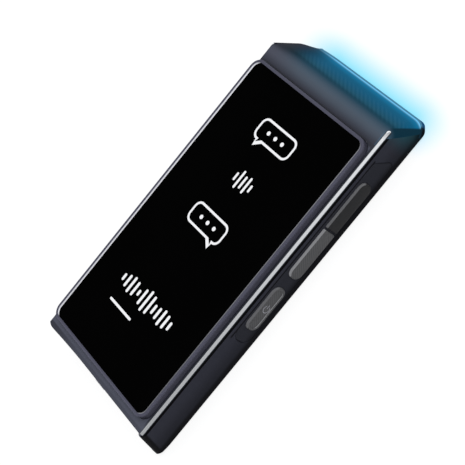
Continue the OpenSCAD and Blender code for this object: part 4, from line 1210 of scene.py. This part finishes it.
class TRANSLATOR_OT_housing(bpy.types.Operator):
    """Dresses the cover, the frames and the button panel"""

    bl_idname = "translator.housing"
    bl_label = "Housing"

    def execute(self, context):
        edge = sizes().seam_edge
        dressed("rear_cover", soften=edge, change=shape_cover, cuts=HEAD_CUTS + FOOT_CUTS)
        for node in ("middle_frame", "front_frame"):
            dressed(node, soften=edge, change=draw_foot_back, cuts=FOOT_CUTS)
        dressed("button_panel", soften=edge, change=open_panel)
        return {"FINISHED"}


class TRANSLATOR_OT_head(bpy.types.Operator):
    """Dresses the smoked lens and the light guide"""

    bl_idname = "translator.head"
    bl_label = "Head"

    def execute(self, context):
        for node in ("head_lens", "light_guide"):
            dressed(node, change=round_left_corner, cuts=HEAD_CUTS)
        return {"FINISHED"}


class TRANSLATOR_OT_trims(bpy.types.Operator):
    """Dresses the two bright trims"""

    bl_idname = "translator.trims"
    bl_label = "Trims"

    def execute(self, context):
        for node in ("trim_left", "trim_right"):
            dressed(node, soften=sizes().trim_edge, change=shape_trim, cuts=FOOT_CUTS + TIP_CUTS)
        return {"FINISHED"}


class TRANSLATOR_OT_screen(bpy.types.Operator):
    """Builds the screen's rim and glass, and what it shows"""

    bl_idname = "translator.screen"
    bl_label = "Screen"

    def execute(self, context):
        make_rim()
        make_glass()
        make_marks()
        return {"FINISHED"}


class TRANSLATOR_OT_side_keys(bpy.types.Operator):
    """Builds the two talk buttons and the power button"""

    bl_idname = "translator.side_keys"
    bl_label = "Side keys"

    def execute(self, context):
        make_side_keys()
        make_power_symbol()
        return {"FINISHED"}


class TRANSLATOR_OT_left_side(bpy.types.Operator):
    """Dresses the volume rocker and the card tray"""

    bl_idname = "translator.left_side"
    bl_label = "Left side"

    def execute(self, context):
        dressed("volume_rocker", soften=sizes().key_edge * 0.7)
        dressed("sim_tray", soften=sizes().seam_edge)
        return {"FINISHED"}


class TRANSLATOR_OT_camera_parts(bpy.types.Operator):
    """Builds the camera window and the flash"""

    bl_idname = "translator.camera_parts"
    bl_label = "Camera and flash"

    def execute(self, context):
        make_camera()
        return {"FINISHED"}


class TRANSLATOR_OT_inner_parts(bpy.types.Operator):
    """Dresses the USB socket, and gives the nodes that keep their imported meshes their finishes"""

    bl_idname = "translator.inner_parts"
    bl_label = "Inner parts"

    def execute(self, context):
        dressed("usb_socket")
        for name, node in frame["nodes"].items():
            if not node.hide_render:
                for place in node.material_slots:
                    place.material = FINISHES[SLOTS[name]]
        return {"FINISHED"}


class TRANSLATOR_OT_stage(bpy.types.Operator):
    """Sets the floor, the light and the camera"""

    bl_idname = "translator.stage"
    bl_label = "Stage"

    def execute(self, context):
        context.scene.view_settings.view_transform = "Standard"
        make_floor()
        make_world()
        make_lamp("overhead", (0.1, 0.0, 0.9), (0.1, 0.0, 0.0), width=1.2, power=8.6)
        make_camera_view()
        return {"FINISHED"}


OPERATORS = [
    TRANSLATOR_OT_finishes,
    TRANSLATOR_OT_housing,
    TRANSLATOR_OT_head,
    TRANSLATOR_OT_trims,
    TRANSLATOR_OT_screen,
    TRANSLATOR_OT_side_keys,
    TRANSLATOR_OT_left_side,
    TRANSLATOR_OT_camera_parts,
    TRANSLATOR_OT_inner_parts,
    TRANSLATOR_OT_stage,
]


class TRANSLATOR_PT_panel(bpy.types.Panel):
    """Lists the steps that finish the device."""

    bl_label = "Translator"
    bl_space_type = "VIEW_3D"
    bl_region_type = "UI"
    bl_category = "Translator"

    def draw(self, context):
        for step in OPERATORS:
            self.layout.operator(step.bl_idname)
        for group in (context.scene.translator_sizes, context.scene.translator_colours):
            box = self.layout.box()
            for name in group.bl_rna.properties.keys():
                if name not in ("rna_type", "name"):
                    box.prop(group, name)


CLASSES = [TranslatorSizes, TranslatorColours, *OPERATORS, TRANSLATOR_PT_panel]


def register():
    """Registers the classes and hangs the sizes and colours on the scene."""
    for item in CLASSES:
        bpy.utils.register_class(item)
    bpy.types.Scene.translator_sizes = PointerProperty(type=TranslatorSizes)
    bpy.types.Scene.translator_colours = PointerProperty(type=TranslatorColours)


def unregister():
    """Takes the classes and the scene's properties away."""
    del bpy.types.Scene.translator_colours
    del bpy.types.Scene.translator_sizes
    for item in reversed(CLASSES):
        bpy.utils.unregister_class(item)


def main():
    """Registers, and runs every step in order."""
    register()
    for step in OPERATORS:
        key = step.bl_idname.split(".")[1]
        getattr(bpy.ops.translator, key)()


if __name__ == "__main__":
    main()
